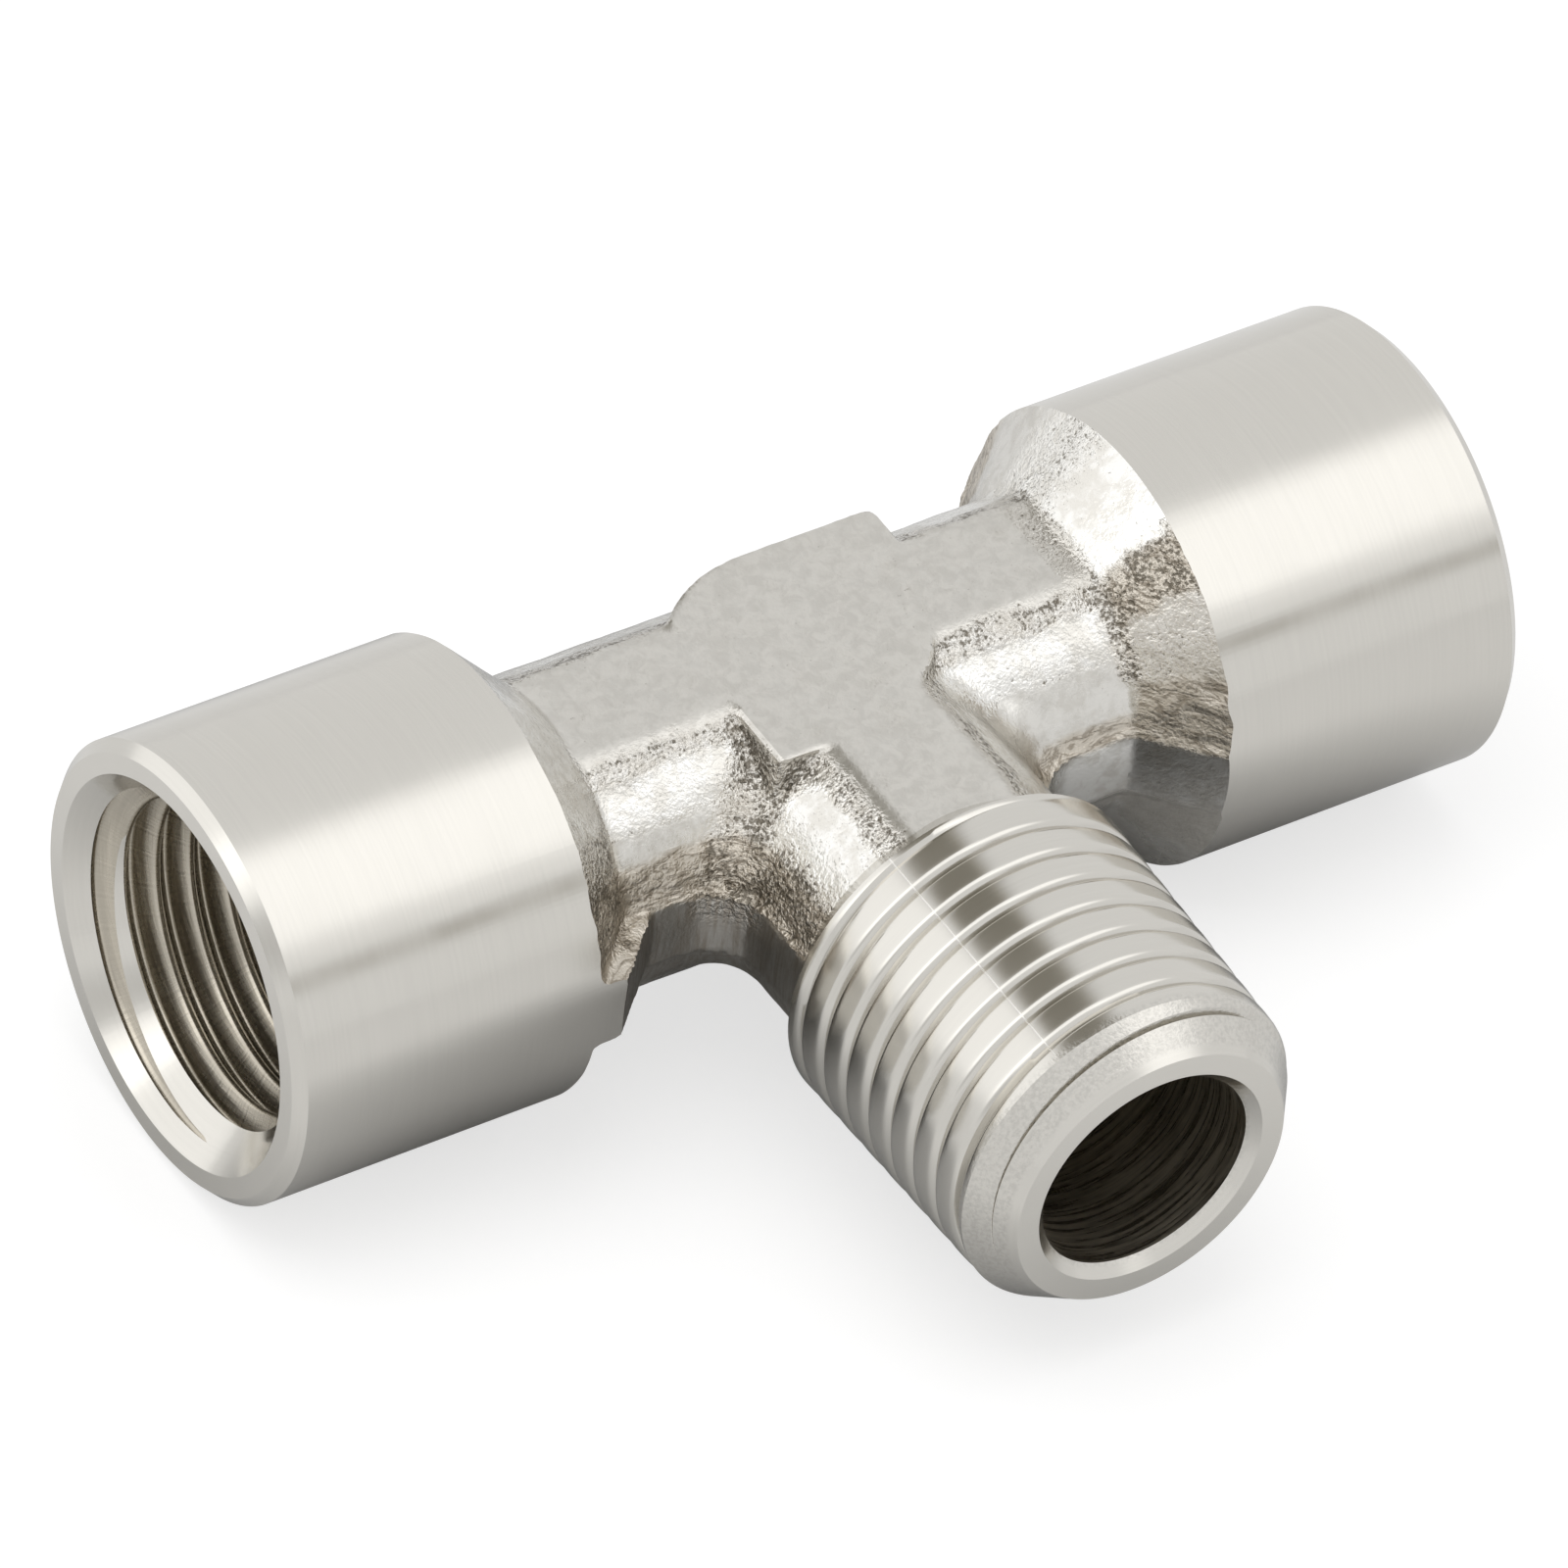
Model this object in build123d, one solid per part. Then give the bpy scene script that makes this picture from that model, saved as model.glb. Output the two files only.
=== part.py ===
from build123d import *
import os
from math import radians, sqrt, tan

# Threaded tee, one forged and turned brass piece, in millimetres.
# +X lies along the straight run, the branch points along -Y and +Z is up.
# The origin is where the two centre-lines cross, in the parting plane of the forging.

# Turned sockets at both ends of the run
SOCKET_DIA = 16.5
SOCKET_FACE_X = 24.4
SHOULDER_X = 12.6
SHOULDER_CONE_ANGLE = 45.0
MOUTH_CHAMFER = 0.4
TURNING_ALLOWANCE = 0.5

# Tapped hole in each socket, at the minor diameter of a 1/4 inch parallel pipe thread
TAPPED_DIA = 11.445
TAPPED_DEPTH = 12.0
COUNTERSINK_DIA = 14.2
COUNTERSINK_DEPTH = 1.6
DRILL_POINT_ANGLE = 118.0

# Waterways drilled along the run and up the branch
RUN_BORE_DIA = 8.5
BRANCH_BORE_DIA = 8.0
BRANCH_MOUTH_DIA = 8.8
BRANCH_MOUTH_DEPTH = 0.4

# Forged necks between the hub and the ends, with flattened crowns
NECK_DIA = 11.4
BRANCH_NECK_DIA = 11.5
CROWN_Z = 5.65
CROTCH_RADIUS = 1.6

# Flat pad above and below the hub, off centre as forged
PAD_LEFT_X = -4.1
PAD_RIGHT_X = 5.25
PAD_FRONT_Y = -5.15
PAD_BACK_Y = 4.1
PAD_Z = 5.7
PAD_DRAFT_ANGLE = 4.0
PAD_RIM_RADIUS = 0.25
PAD_CORNER_RADIUS = 0.35
PAD_SWEEP_RADIUS = 5.4
PAD_ROUND_RADIUS = 3.6
PAD_ROUND_X = 0.6
PAD_ROUND_Y = -0.6

# Trimmed band of flash around the parting plane
BAND_HEIGHT = 2.7
BAND_WALL_Y = 5.72
BAND_WALL_X = 5.78
BAND_CORNER_RADIUS = 1.8
LEFT_FLARE_X = 9.1
RIGHT_FLARE_X = 10.1

# Branch spigot: blank of a 1/4 inch taper pipe thread, 1 in 16 on diameter
BRANCH_END_Y = 22.9
SPIGOT_LENGTH = 12.0
GAUGE_DIA = 13.157
GAUGE_LENGTH = 6.0
TAPER_ON_DIA = 1 / 16
END_RING_DIA = 10.5
LEAD_LENGTH = 1.6
BACK_CHAMFER_ANGLE = 45.0

# A length too small to matter
TINY = 1e-6

# Turns that lay a cylinder along X or along -Y
ALONG_X = Rotation(0, 90, 0)
ALONG_BRANCH = Rotation(90, 0, 0)


def pad_outline() -> Face:
    """Plan of the pad: sharp front-left, round front-right, small back-right, swept back-left."""
    step = PAD_ROUND_RADIUS * sqrt(0.5)
    round_front = (PAD_ROUND_X, PAD_ROUND_Y - PAD_ROUND_RADIUS)
    round_middle = (PAD_ROUND_X + step, PAD_ROUND_Y - step)
    round_right = (PAD_ROUND_X + PAD_ROUND_RADIUS, PAD_ROUND_Y)
    front_reach = PAD_ROUND_X - (round_front[1] - PAD_FRONT_Y)
    right_reach = PAD_ROUND_Y + (PAD_RIGHT_X - round_right[0])
    corner = PAD_CORNER_RADIUS
    corner_middle = corner * (1 - sqrt(0.5))
    sweep_y = PAD_BACK_Y - PAD_SWEEP_RADIUS
    half_x = PAD_LEFT_X / 2
    sweep_left = (PAD_LEFT_X, sweep_y + sqrt(PAD_SWEEP_RADIUS**2 - PAD_LEFT_X**2))
    sweep_middle = (half_x, sweep_y + sqrt(PAD_SWEEP_RADIUS**2 - half_x**2))
    sweep_back = (0, PAD_BACK_Y)
    front_left = (PAD_LEFT_X, PAD_FRONT_Y)
    edges = [
        Line(front_left, (front_reach, PAD_FRONT_Y)),
        Line((front_reach, PAD_FRONT_Y), round_front),
        ThreePointArc(round_front, round_middle, round_right),
        Line(round_right, (PAD_RIGHT_X, right_reach)),
        Line((PAD_RIGHT_X, right_reach), (PAD_RIGHT_X, PAD_BACK_Y - corner)),
        ThreePointArc(
            (PAD_RIGHT_X, PAD_BACK_Y - corner),
            (PAD_RIGHT_X - corner_middle, PAD_BACK_Y - corner_middle),
            (PAD_RIGHT_X - corner, PAD_BACK_Y),
        ),
        Line((PAD_RIGHT_X - corner, PAD_BACK_Y), sweep_back),
        ThreePointArc(sweep_back, sweep_middle, sweep_left),
        Line(sweep_left, front_left),
    ]
    return make_face(edges)


def hub_block() -> Part:
    """Drafted block under the upper pad, and the same block turned over about the branch."""
    upper = extrude(Plane.XY.offset(PAD_Z) * pad_outline(), -PAD_Z, taper=-PAD_DRAFT_ANGLE)
    rim = upper.faces().sort_by(Axis.Z)[-1].edges()
    upper = fillet(rim, PAD_RIM_RADIUS)
    return upper + Rotation(0, 180, 0) * upper


def necks() -> Part:
    """Run and branch necks with a rolled crotch between them, flattened above and below."""
    run = ALONG_X * Cylinder(NECK_DIA / 2, 2 * SHOULDER_X)
    branch = ALONG_BRANCH * Cylinder(
        BRANCH_NECK_DIA / 2,
        BRANCH_END_Y - SPIGOT_LENGTH / 2,
        align=(Align.CENTER, Align.CENTER, Align.MIN),
    )
    span = 2 * (BRANCH_END_Y + SHOULDER_X)
    body = (run + branch) & Box(span, span, 2 * CROWN_Z)
    crossings = [edge for edge in body.edges() if edge.geom_type == GeomType.BSPLINE]
    return fillet(crossings, CROTCH_RADIUS)


def band() -> Part:
    """Band of flash left by the trimming die: walls, flares at the shoulders, round crotches."""
    raw_radius = SOCKET_DIA / 2 + TURNING_ALLOWANCE
    flare = raw_radius - BAND_WALL_Y
    left_x = -LEFT_FLARE_X
    middle_x = (SHOULDER_X + SOCKET_FACE_X) / 2
    neck_end_y = -(BRANCH_END_Y - SPIGOT_LENGTH / 2)
    points = [
        (left_x, BAND_WALL_Y),
        (left_x - flare, raw_radius),
        (-middle_x, raw_radius),
        (-middle_x, -raw_radius),
        (left_x - flare, -raw_radius),
        (left_x, -BAND_WALL_Y),
        (-BAND_WALL_X, -BAND_WALL_Y),
        (-BAND_WALL_X, neck_end_y),
        (BAND_WALL_X, neck_end_y),
        (BAND_WALL_X, -BAND_WALL_Y),
        (RIGHT_FLARE_X, -BAND_WALL_Y),
        (RIGHT_FLARE_X + flare, -raw_radius),
        (middle_x, -raw_radius),
        (middle_x, raw_radius),
        (RIGHT_FLARE_X + flare, raw_radius),
        (RIGHT_FLARE_X, BAND_WALL_Y),
    ]
    plate = extrude(make_face(Polyline(points, close=True)), BAND_HEIGHT / 2, both=True)
    uprights = plate.edges().filter_by(Axis.Z).filter_by_position(
        Axis.Y, -BAND_WALL_Y - TINY, -BAND_WALL_Y + TINY
    )
    crotches = uprights.filter_by_position(Axis.X, -BAND_WALL_X - TINY, BAND_WALL_X + TINY)
    return fillet(crotches, BAND_CORNER_RADIUS)


def raw_socket() -> Part:
    """Right end of the forging: 45 degree shoulder and a boss with metal left for turning."""
    raw_radius = SOCKET_DIA / 2 + TURNING_ALLOWANCE
    slope = tan(radians(SHOULDER_CONE_ANGLE))
    profile = [
        (SHOULDER_X - SOCKET_DIA / 2 / slope, 0),
        (SHOULDER_X + TURNING_ALLOWANCE / slope, raw_radius),
        (SOCKET_FACE_X + TURNING_ALLOWANCE, raw_radius),
        (SOCKET_FACE_X + TURNING_ALLOWANCE, 0),
    ]
    return revolve(make_face(Polyline(profile, close=True)), Axis.X)


def turned_envelope() -> Part:
    """All that the lathe leaves: the sockets' cylinder, chamfered, and room for the branch."""
    radius = SOCKET_DIA / 2
    profile = [
        (-SOCKET_FACE_X, 0),
        (-SOCKET_FACE_X, radius - MOUTH_CHAMFER),
        (-SOCKET_FACE_X + MOUTH_CHAMFER, radius),
        (SOCKET_FACE_X - MOUTH_CHAMFER, radius),
        (SOCKET_FACE_X, radius - MOUTH_CHAMFER),
        (SOCKET_FACE_X, 0),
    ]
    cylinder = revolve(make_face(Polyline(profile, close=True)), Axis.X)
    room = Box(
        2 * LEFT_FLARE_X,
        BRANCH_END_Y,
        SOCKET_DIA,
        align=(Align.CENTER, Align.MAX, Align.CENTER),
    )
    return cylinder + room


def spigot() -> Part:
    """Tapered blank of the branch thread, chamfered behind and in front."""
    base_y = BRANCH_END_Y - SPIGOT_LENGTH
    base_radius = taper_radius(SPIGOT_LENGTH)
    profile = [
        (0, -(base_y - base_radius * tan(radians(BACK_CHAMFER_ANGLE)))),
        (base_radius, -base_y),
        (taper_radius(LEAD_LENGTH), -(BRANCH_END_Y - LEAD_LENGTH)),
        (END_RING_DIA / 2, -BRANCH_END_Y),
        (0, -BRANCH_END_Y),
    ]
    return revolve(make_face(Polyline(profile, close=True)), Axis.Y)


def taper_radius(from_end: float) -> float:
    """Crest radius of the taper thread at a distance from the end of the branch."""
    return GAUGE_DIA / 2 + (from_end - GAUGE_LENGTH) * TAPER_ON_DIA / 2


def tapped_hole() -> Part:
    """Right tapped hole: countersunk mouth, plain wall and the cone left by the drill point."""
    tapped_radius = TAPPED_DIA / 2
    bottom_x = SOCKET_FACE_X - TAPPED_DEPTH
    point_x = bottom_x - tapped_radius / tan(radians(DRILL_POINT_ANGLE / 2))
    profile = [
        (point_x, 0),
        (bottom_x, tapped_radius),
        (SOCKET_FACE_X - COUNTERSINK_DEPTH, tapped_radius),
        (SOCKET_FACE_X, COUNTERSINK_DIA / 2),
        (SOCKET_FACE_X, 0),
    ]
    return revolve(make_face(Polyline(profile, close=True)), Axis.X)


def branch_bore() -> Part:
    """Waterway up the branch, from its chamfered mouth to the centre of the run."""
    mouth_radius = BRANCH_MOUTH_DIA / 2
    bore_radius = BRANCH_BORE_DIA / 2
    profile = [
        (0, 0),
        (bore_radius, 0),
        (bore_radius, -(BRANCH_END_Y - BRANCH_MOUTH_DEPTH)),
        (mouth_radius, -BRANCH_END_Y),
        (0, -BRANCH_END_Y),
    ]
    return revolve(make_face(Polyline(profile, close=True)), Axis.Y)


def tee_body() -> Part:
    """The whole fitting: the forging, turned at its ends, then drilled and tapped."""
    right_end = raw_socket()
    ends = right_end + mirror(right_end, Plane.YZ)
    forging = necks() + hub_block() + band() + ends
    turned = (forging & turned_envelope()) + spigot()
    right_hole = tapped_hole()
    run_bore = ALONG_X * Cylinder(RUN_BORE_DIA / 2, 2 * (SOCKET_FACE_X - TAPPED_DEPTH))
    return turned - right_hole - mirror(right_hole, Plane.YZ) - run_bore - branch_bore()


if __name__ == "__main__":
    os.makedirs("parts", exist_ok=True)
    body = tee_body()
    export_step(body, "parts/tee_body.step")
    print(f"tee_body {body.volume:.1f} mm3, {len(body.solids())} solid, valid {body.is_valid}")
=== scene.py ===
"""Finish, light and camera of a forged pipe tee with tapped sockets and a taper threaded branch.

The fitting is one nickel plated brass piece. Its surface is worked out here in millimetres: a
forged middle as the closed surface where a distance function is zero, and turned, threaded and
drilled ends as surfaces of revolution and helices. The solids are then joined and cut in the
order in which the real one is made: forged, turned, threaded, drilled and tapped.

+X lies along the run, the branch points along -Y and +Z is up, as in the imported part.
"""

from __future__ import annotations

import itertools
import logging
import math
import sys
from collections.abc import Callable, Sequence
from dataclasses import dataclass, field
from enum import Enum
from typing import Union

import bmesh
import bpy
import numpy as np
from mathutils import Matrix, Vector

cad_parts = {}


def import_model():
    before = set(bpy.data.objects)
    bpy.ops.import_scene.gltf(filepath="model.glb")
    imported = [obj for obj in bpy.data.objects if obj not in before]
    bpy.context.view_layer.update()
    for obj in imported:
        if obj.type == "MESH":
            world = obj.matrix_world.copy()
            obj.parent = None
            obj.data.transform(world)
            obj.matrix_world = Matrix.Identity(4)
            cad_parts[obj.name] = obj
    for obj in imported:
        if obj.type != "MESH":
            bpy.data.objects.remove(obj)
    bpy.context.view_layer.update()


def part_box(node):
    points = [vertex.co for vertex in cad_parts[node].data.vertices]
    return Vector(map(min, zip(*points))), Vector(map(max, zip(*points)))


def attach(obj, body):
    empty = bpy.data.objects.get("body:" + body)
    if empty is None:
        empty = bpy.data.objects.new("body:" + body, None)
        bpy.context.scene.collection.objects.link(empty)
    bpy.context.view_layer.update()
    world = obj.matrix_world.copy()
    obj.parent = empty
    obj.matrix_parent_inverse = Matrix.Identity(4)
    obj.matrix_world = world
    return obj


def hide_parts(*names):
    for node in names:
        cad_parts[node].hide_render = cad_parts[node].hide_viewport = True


LOG = logging.getLogger("tee")

# Metres in a millimetre
MM = 0.001

# Points nearer than this, in millimetres, are one point
WELD = 1e-5

# Angle between faces, in degrees, past which their edge is shaded sharp
SHARP_ANGLE = 32.0

# How much more a large face counts than a small one in the shading of their shared points
FLAT_WEIGHT = 60

NODE = "tee_body"
BODY = "root"

# Points of a profile or of an outline in plan, in millimetres
Line = list[tuple[float, float]]


class Operation(Enum):
    """What one solid does to another."""

    JOIN = "UNION"
    CUT = "DIFFERENCE"
    KEEP_COMMON = "INTERSECT"


class Axis(Enum):
    """Centre-line that a turned form is made round."""

    RUN = "run"
    BRANCH = "branch"


# Smooth steps and noise


def smooth_least(first: np.ndarray, second: np.ndarray, reach: float | np.ndarray) -> np.ndarray:
    """Least of two distances, blended by a parabola where they differ by less than a reach.

    Args:
        first: One distance.
        second: The other distance.
        reach: Difference at which the blend starts, in millimetres.

    Returns:
        The blended least distance, which joins two solids with a fillet.
    """
    share = np.clip(0.5 + 0.5 * (second - first) / reach, 0.0, 1.0)
    return second * (1.0 - share) + first * share - reach * share * (1.0 - share)


def smooth_most(first: np.ndarray, second: np.ndarray, reach: float | np.ndarray) -> np.ndarray:
    """Greatest of two distances, blended in the same way: a cut with a rounded edge."""
    return -smooth_least(-first, -second, reach)


def rise(value: np.ndarray, low: float, high: float) -> np.ndarray:
    """Smooth step: 0 up to low, 1 from high, and 3t squared less 2t cubed between them."""
    share = np.clip((value - low) / (high - low), 0.0, 1.0)
    return share * share * (3.0 - 2.0 * share)


def between(value: np.ndarray, low: float, high: float, soft: float) -> np.ndarray:
    """1 between two values and 0 outside them, with smooth steps of a soft width."""
    return rise(value, low - soft, low + soft) * (1.0 - rise(value, high - soft, high + soft))


class Grain:
    """Seeded gradient noise: random slopes on a repeating cubic lattice, blended smoothly."""

    def __init__(self, seed: int, size: int = 32) -> None:
        """Draws the lattice's slopes.

        Args:
            seed: Seed of the random draw.
            size: Lattice points along each edge before it repeats.
        """
        slopes = np.random.default_rng(seed).normal(size=(size, size, size, 3))
        self.slopes = slopes / np.linalg.norm(slopes, axis=-1, keepdims=True)
        self.size = size

    def at(self, points: np.ndarray, spacing: float | tuple[float, float, float]) -> np.ndarray:
        """Noise at points, about -1 to 1.

        Each point is divided by the spacing. The dot products of the eight surrounding slopes
        with the way to the point are blended by the quintic fade along each axis.

        Args:
            points: Array of points in millimetres, with X, Y and Z last.
            spacing: Size of the grain in millimetres, one or one for each axis.

        Returns:
            One value for each point.
        """
        scaled = points / np.asarray(spacing)
        base = np.floor(scaled).astype(int)
        part = scaled - base
        fade = part**3 * (part * (part * 6.0 - 15.0) + 10.0)
        total = np.zeros(points.shape[:-1])
        for corner in itertools.product((0, 1), repeat=3):
            cell = np.mod(base + corner, self.size)
            slope = self.slopes[cell[..., 0], cell[..., 1], cell[..., 2]]
            weight = np.prod(np.where(corner, fade, 1.0 - fade), axis=-1)
            total += weight * np.sum(slope * (part - corner), axis=-1)
        return 1.6 * total


# Outlines in plan


def arc(centre: tuple[float, float], radius: float, start: float, end: float, count: int) -> Line:
    """Points along an arc in plan.

    Args:
        centre: Centre of the arc.
        radius: Its radius.
        start: Angle of its first point from +X, in degrees.
        end: Angle of its last point.
        count: Number of points.

    Returns:
        The points.
    """
    angles = np.radians(np.linspace(start, end, count))
    return [(centre[0] + radius * np.cos(a), centre[1] + radius * np.sin(a)) for a in angles]


def outline_distance(x: np.ndarray, y: np.ndarray, outline: Line) -> np.ndarray:
    """Signed distance in plan from points to a closed outline, negative inside.

    The distance is the least over the outline's sides. A point is inside where a ray towards +X
    crosses an odd number of sides.

    Args:
        x: X of the points, of any shape that broadcasts with y.
        y: Y of the points.
        outline: Corners of the outline in order.

    Returns:
        The distance in millimetres.
    """
    x, y = np.broadcast_arrays(x, y)
    nearest = np.full(x.shape, np.inf)
    inside = np.zeros(x.shape, bool)
    for (ax, ay), (bx, by) in zip(outline, outline[1:] + outline[:1]):
        dx, dy = bx - ax, by - ay
        along = np.clip(((x - ax) * dx + (y - ay) * dy) / (dx * dx + dy * dy), 0.0, 1.0)
        nearest = np.minimum(nearest, np.hypot(x - ax - along * dx, y - ay - along * dy))
        if dy != 0.0:
            inside ^= ((ay > y) != (by > y)) & (x < ax + (y - ay) * dx / dy)
    return np.where(inside, -nearest, nearest)


# Meshes


def surface_net(values: np.ndarray, low: np.ndarray, step: float) -> tuple[np.ndarray, np.ndarray]:
    """Closed surface where sampled values pass through zero.

    Every grid cell with both signs at its corners gets one vertex, at the mean of the points
    where its edges cross zero. Every grid edge that crosses zero gets one four-sided face
    between the cells round it, turned to face the positive side.

    Args:
        values: Samples on a regular grid, positive on its border.
        low: Place of the grid's first sample.
        step: Distance between samples.

    Returns:
        Vertices, and faces of four vertices each.
    """
    inside = values < 0.0
    corners = [
        inside[tuple(slice(c, n - 1 + c) for c, n in zip(corner, values.shape))]
        for corner in itertools.product((0, 1), repeat=3)
    ]
    mixed = np.any(corners, axis=0) & ~np.all(corners, axis=0)
    index = np.full(mixed.shape, -1)
    index[mixed] = np.arange(mixed.sum())
    cells = np.argwhere(mixed)
    total = np.zeros(cells.shape)
    count = np.zeros(len(cells))
    for axis in range(3):
        others = [a for a in range(3) if a != axis]
        for sides in itertools.product((0, 1), repeat=2):
            start = cells.copy()
            start[:, others] += sides
            end = start.copy()
            end[:, axis] += 1
            at_start = values[tuple(start.T)]
            at_end = values[tuple(end.T)]
            crosses = (at_start < 0.0) != (at_end < 0.0)
            part = np.where(crosses, at_start / np.where(crosses, at_start - at_end, 1.0), 0.0)
            place = start.astype(float)
            place[:, axis] += part
            total += place * crosses[:, None]
            count += crosses
    faces = []
    for axis in range(3):
        span = [slice(1, -1)] * 3
        span[axis] = slice(0, -1)
        ahead = list(span)
        ahead[axis] = slice(1, None)
        starts_inside = inside[tuple(span)]
        changes = starts_inside != inside[tuple(ahead)]
        nodes = np.argwhere(changes) + 1
        nodes[:, axis] -= 1
        ring = []
        for back_second, back_third in ((1, 1), (0, 1), (0, 0), (1, 0)):
            cell = nodes.copy()
            cell[:, (axis + 1) % 3] -= back_second
            cell[:, (axis + 2) % 3] -= back_third
            ring.append(index[tuple(cell.T)])
        quads = np.stack(ring, axis=1)
        outward = starts_inside[changes]
        faces.append(np.where(outward[:, None], quads, quads[:, ::-1]))
    return low + step * total / count[:, None], np.concatenate(faces)


def grid_faces(rows: int, columns: int) -> np.ndarray:
    """Four-sided faces of a grid of vertices stored row after row."""
    corner = np.arange((rows - 1) * columns).reshape(rows - 1, columns)[:, :-1].ravel()
    return np.stack([corner, corner + 1, corner + columns + 1, corner + columns], axis=1)


def read(items: bpy.types.bpy_prop_collection, name: str, kind: type, width: int = 1) -> np.ndarray:
    """One property of all of a mesh's points, edges, corners or faces, in one flat row.

    Args:
        items: The mesh's points, edges, corners or faces.
        name: Name of the property.
        kind: Type of its numbers.
        width: How many numbers each item has.

    Returns:
        The numbers.
    """
    values = np.empty(len(items) * width, kind)
    items.foreach_get(name, values)
    return values


def add_object(name: str, data: bpy.types.ID) -> bpy.types.Object:
    """Puts a mesh, light or camera into the scene, at the origin.

    Args:
        name: Name of the object.
        data: The mesh, light or camera.

    Returns:
        The object.
    """
    thing = bpy.data.objects.new(name, data)
    bpy.context.scene.collection.objects.link(thing)
    return thing


def make_solid(
    name: str, points: np.ndarray, faces: np.ndarray, material: bpy.types.Material
) -> bpy.types.Object:
    """Closed object from points in millimetres, welded and turned to face outwards.

    Args:
        name: Name of the object.
        points: Vertices in millimetres.
        faces: Vertex numbers, one row for each face.
        material: Finish of every face.

    Returns:
        The object, at the origin.
    """
    mesh = bpy.data.meshes.new(name)
    mesh.from_pydata((points * MM).tolist(), [], faces.tolist())
    shape = bmesh.new()
    shape.from_mesh(mesh)
    bmesh.ops.remove_doubles(shape, verts=shape.verts, dist=WELD * MM)
    bmesh.ops.dissolve_degenerate(shape, edges=shape.edges, dist=WELD * MM)
    bmesh.ops.recalc_face_normals(shape, faces=shape.faces)
    loose = sum(1 for edge in shape.edges if not edge.is_manifold)
    shape.to_mesh(mesh)
    shape.free()
    mesh.materials.append(material)
    LOG.info("%s: %d faces, %d edges that don't join two", name, len(mesh.polygons), loose)
    return add_object(name, mesh)


def combine(
    base: bpy.types.Object, other: bpy.types.Object, operation: Operation
) -> bpy.types.Object:
    """Joins two closed solids or cuts one by the other, and removes the other.

    Args:
        base: Solid that keeps the result.
        other: Solid that is used up.
        operation: What to do.

    Returns:
        The base, with its new mesh.
    """
    modifier = base.modifiers.new("cut", "BOOLEAN")
    modifier.solver = "MANIFOLD"
    modifier.operation = operation.value
    modifier.object = other
    modifier.material_mode = "TRANSFER"
    graph = bpy.context.evaluated_depsgraph_get()
    result = bpy.data.meshes.new_from_object(base.evaluated_get(graph))
    old = base.data
    base.modifiers.clear()
    base.data = result
    bpy.data.meshes.remove(old)
    LOG.info("%s %s: %d faces", operation.name, other.name, len(result.polygons))
    used = other.data
    bpy.data.objects.remove(other)
    bpy.data.meshes.remove(used)
    return base


def around(axis: Axis, along: np.ndarray, radius: np.ndarray, turn: np.ndarray) -> np.ndarray:
    """Points round an axis.

    The run's angle grows towards -Y and the branch's towards +X, so on both a right-hand
    thread moves along its axis by its pitch for each turn.

    Args:
        axis: Centre-line.
        along: Places along it.
        radius: Distances from it.
        turn: Angles from the top, in radians.

    Returns:
        The points, with X, Y and Z last.
    """
    if axis is Axis.RUN:
        return np.stack([along, -radius * np.sin(turn), radius * np.cos(turn)], axis=-1)
    return np.stack([radius * np.sin(turn), along, radius * np.cos(turn)], axis=-1)


def lathe(
    name: str, profile: Line, axis: Axis, material: bpy.types.Material, segments: int = 256
) -> bpy.types.Object:
    """Solid of revolution from a profile that starts and ends on the axis.

    Args:
        name: Name of the object.
        profile: Points as place along the axis and radius, in millimetres.
        axis: Centre-line to turn round.
        material: Finish.
        segments: Flats round a circle.

    Returns:
        The closed solid.
    """
    line = np.array(profile, float)
    angles = np.linspace(0.0, 2.0 * np.pi, segments + 1)
    along, turn = np.meshgrid(line[:, 0], angles, indexing="ij")
    radius = np.broadcast_to(line[:, 1:2], along.shape)
    points = around(axis, along, radius, turn)
    return make_solid(name, points.reshape(-1, 3), grid_faces(*along.shape), material)


def cylinder(
    name: str,
    ends: tuple[float, float],
    radius: float,
    axis: Axis,
    material: bpy.types.Material,
    segments: int = 256,
) -> bpy.types.Object:
    """Plain round solid.

    Args:
        name: Name of the object.
        ends: Places of its two ends along the axis, in millimetres.
        radius: Its radius.
        axis: Centre-line.
        material: Finish.
        segments: Flats round a circle.

    Returns:
        The closed solid.
    """
    start, end = ends
    profile = [(start, 0.0), (start, radius), (end, radius), (end, 0.0)]
    return lathe(name, profile, axis, material, segments)


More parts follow.
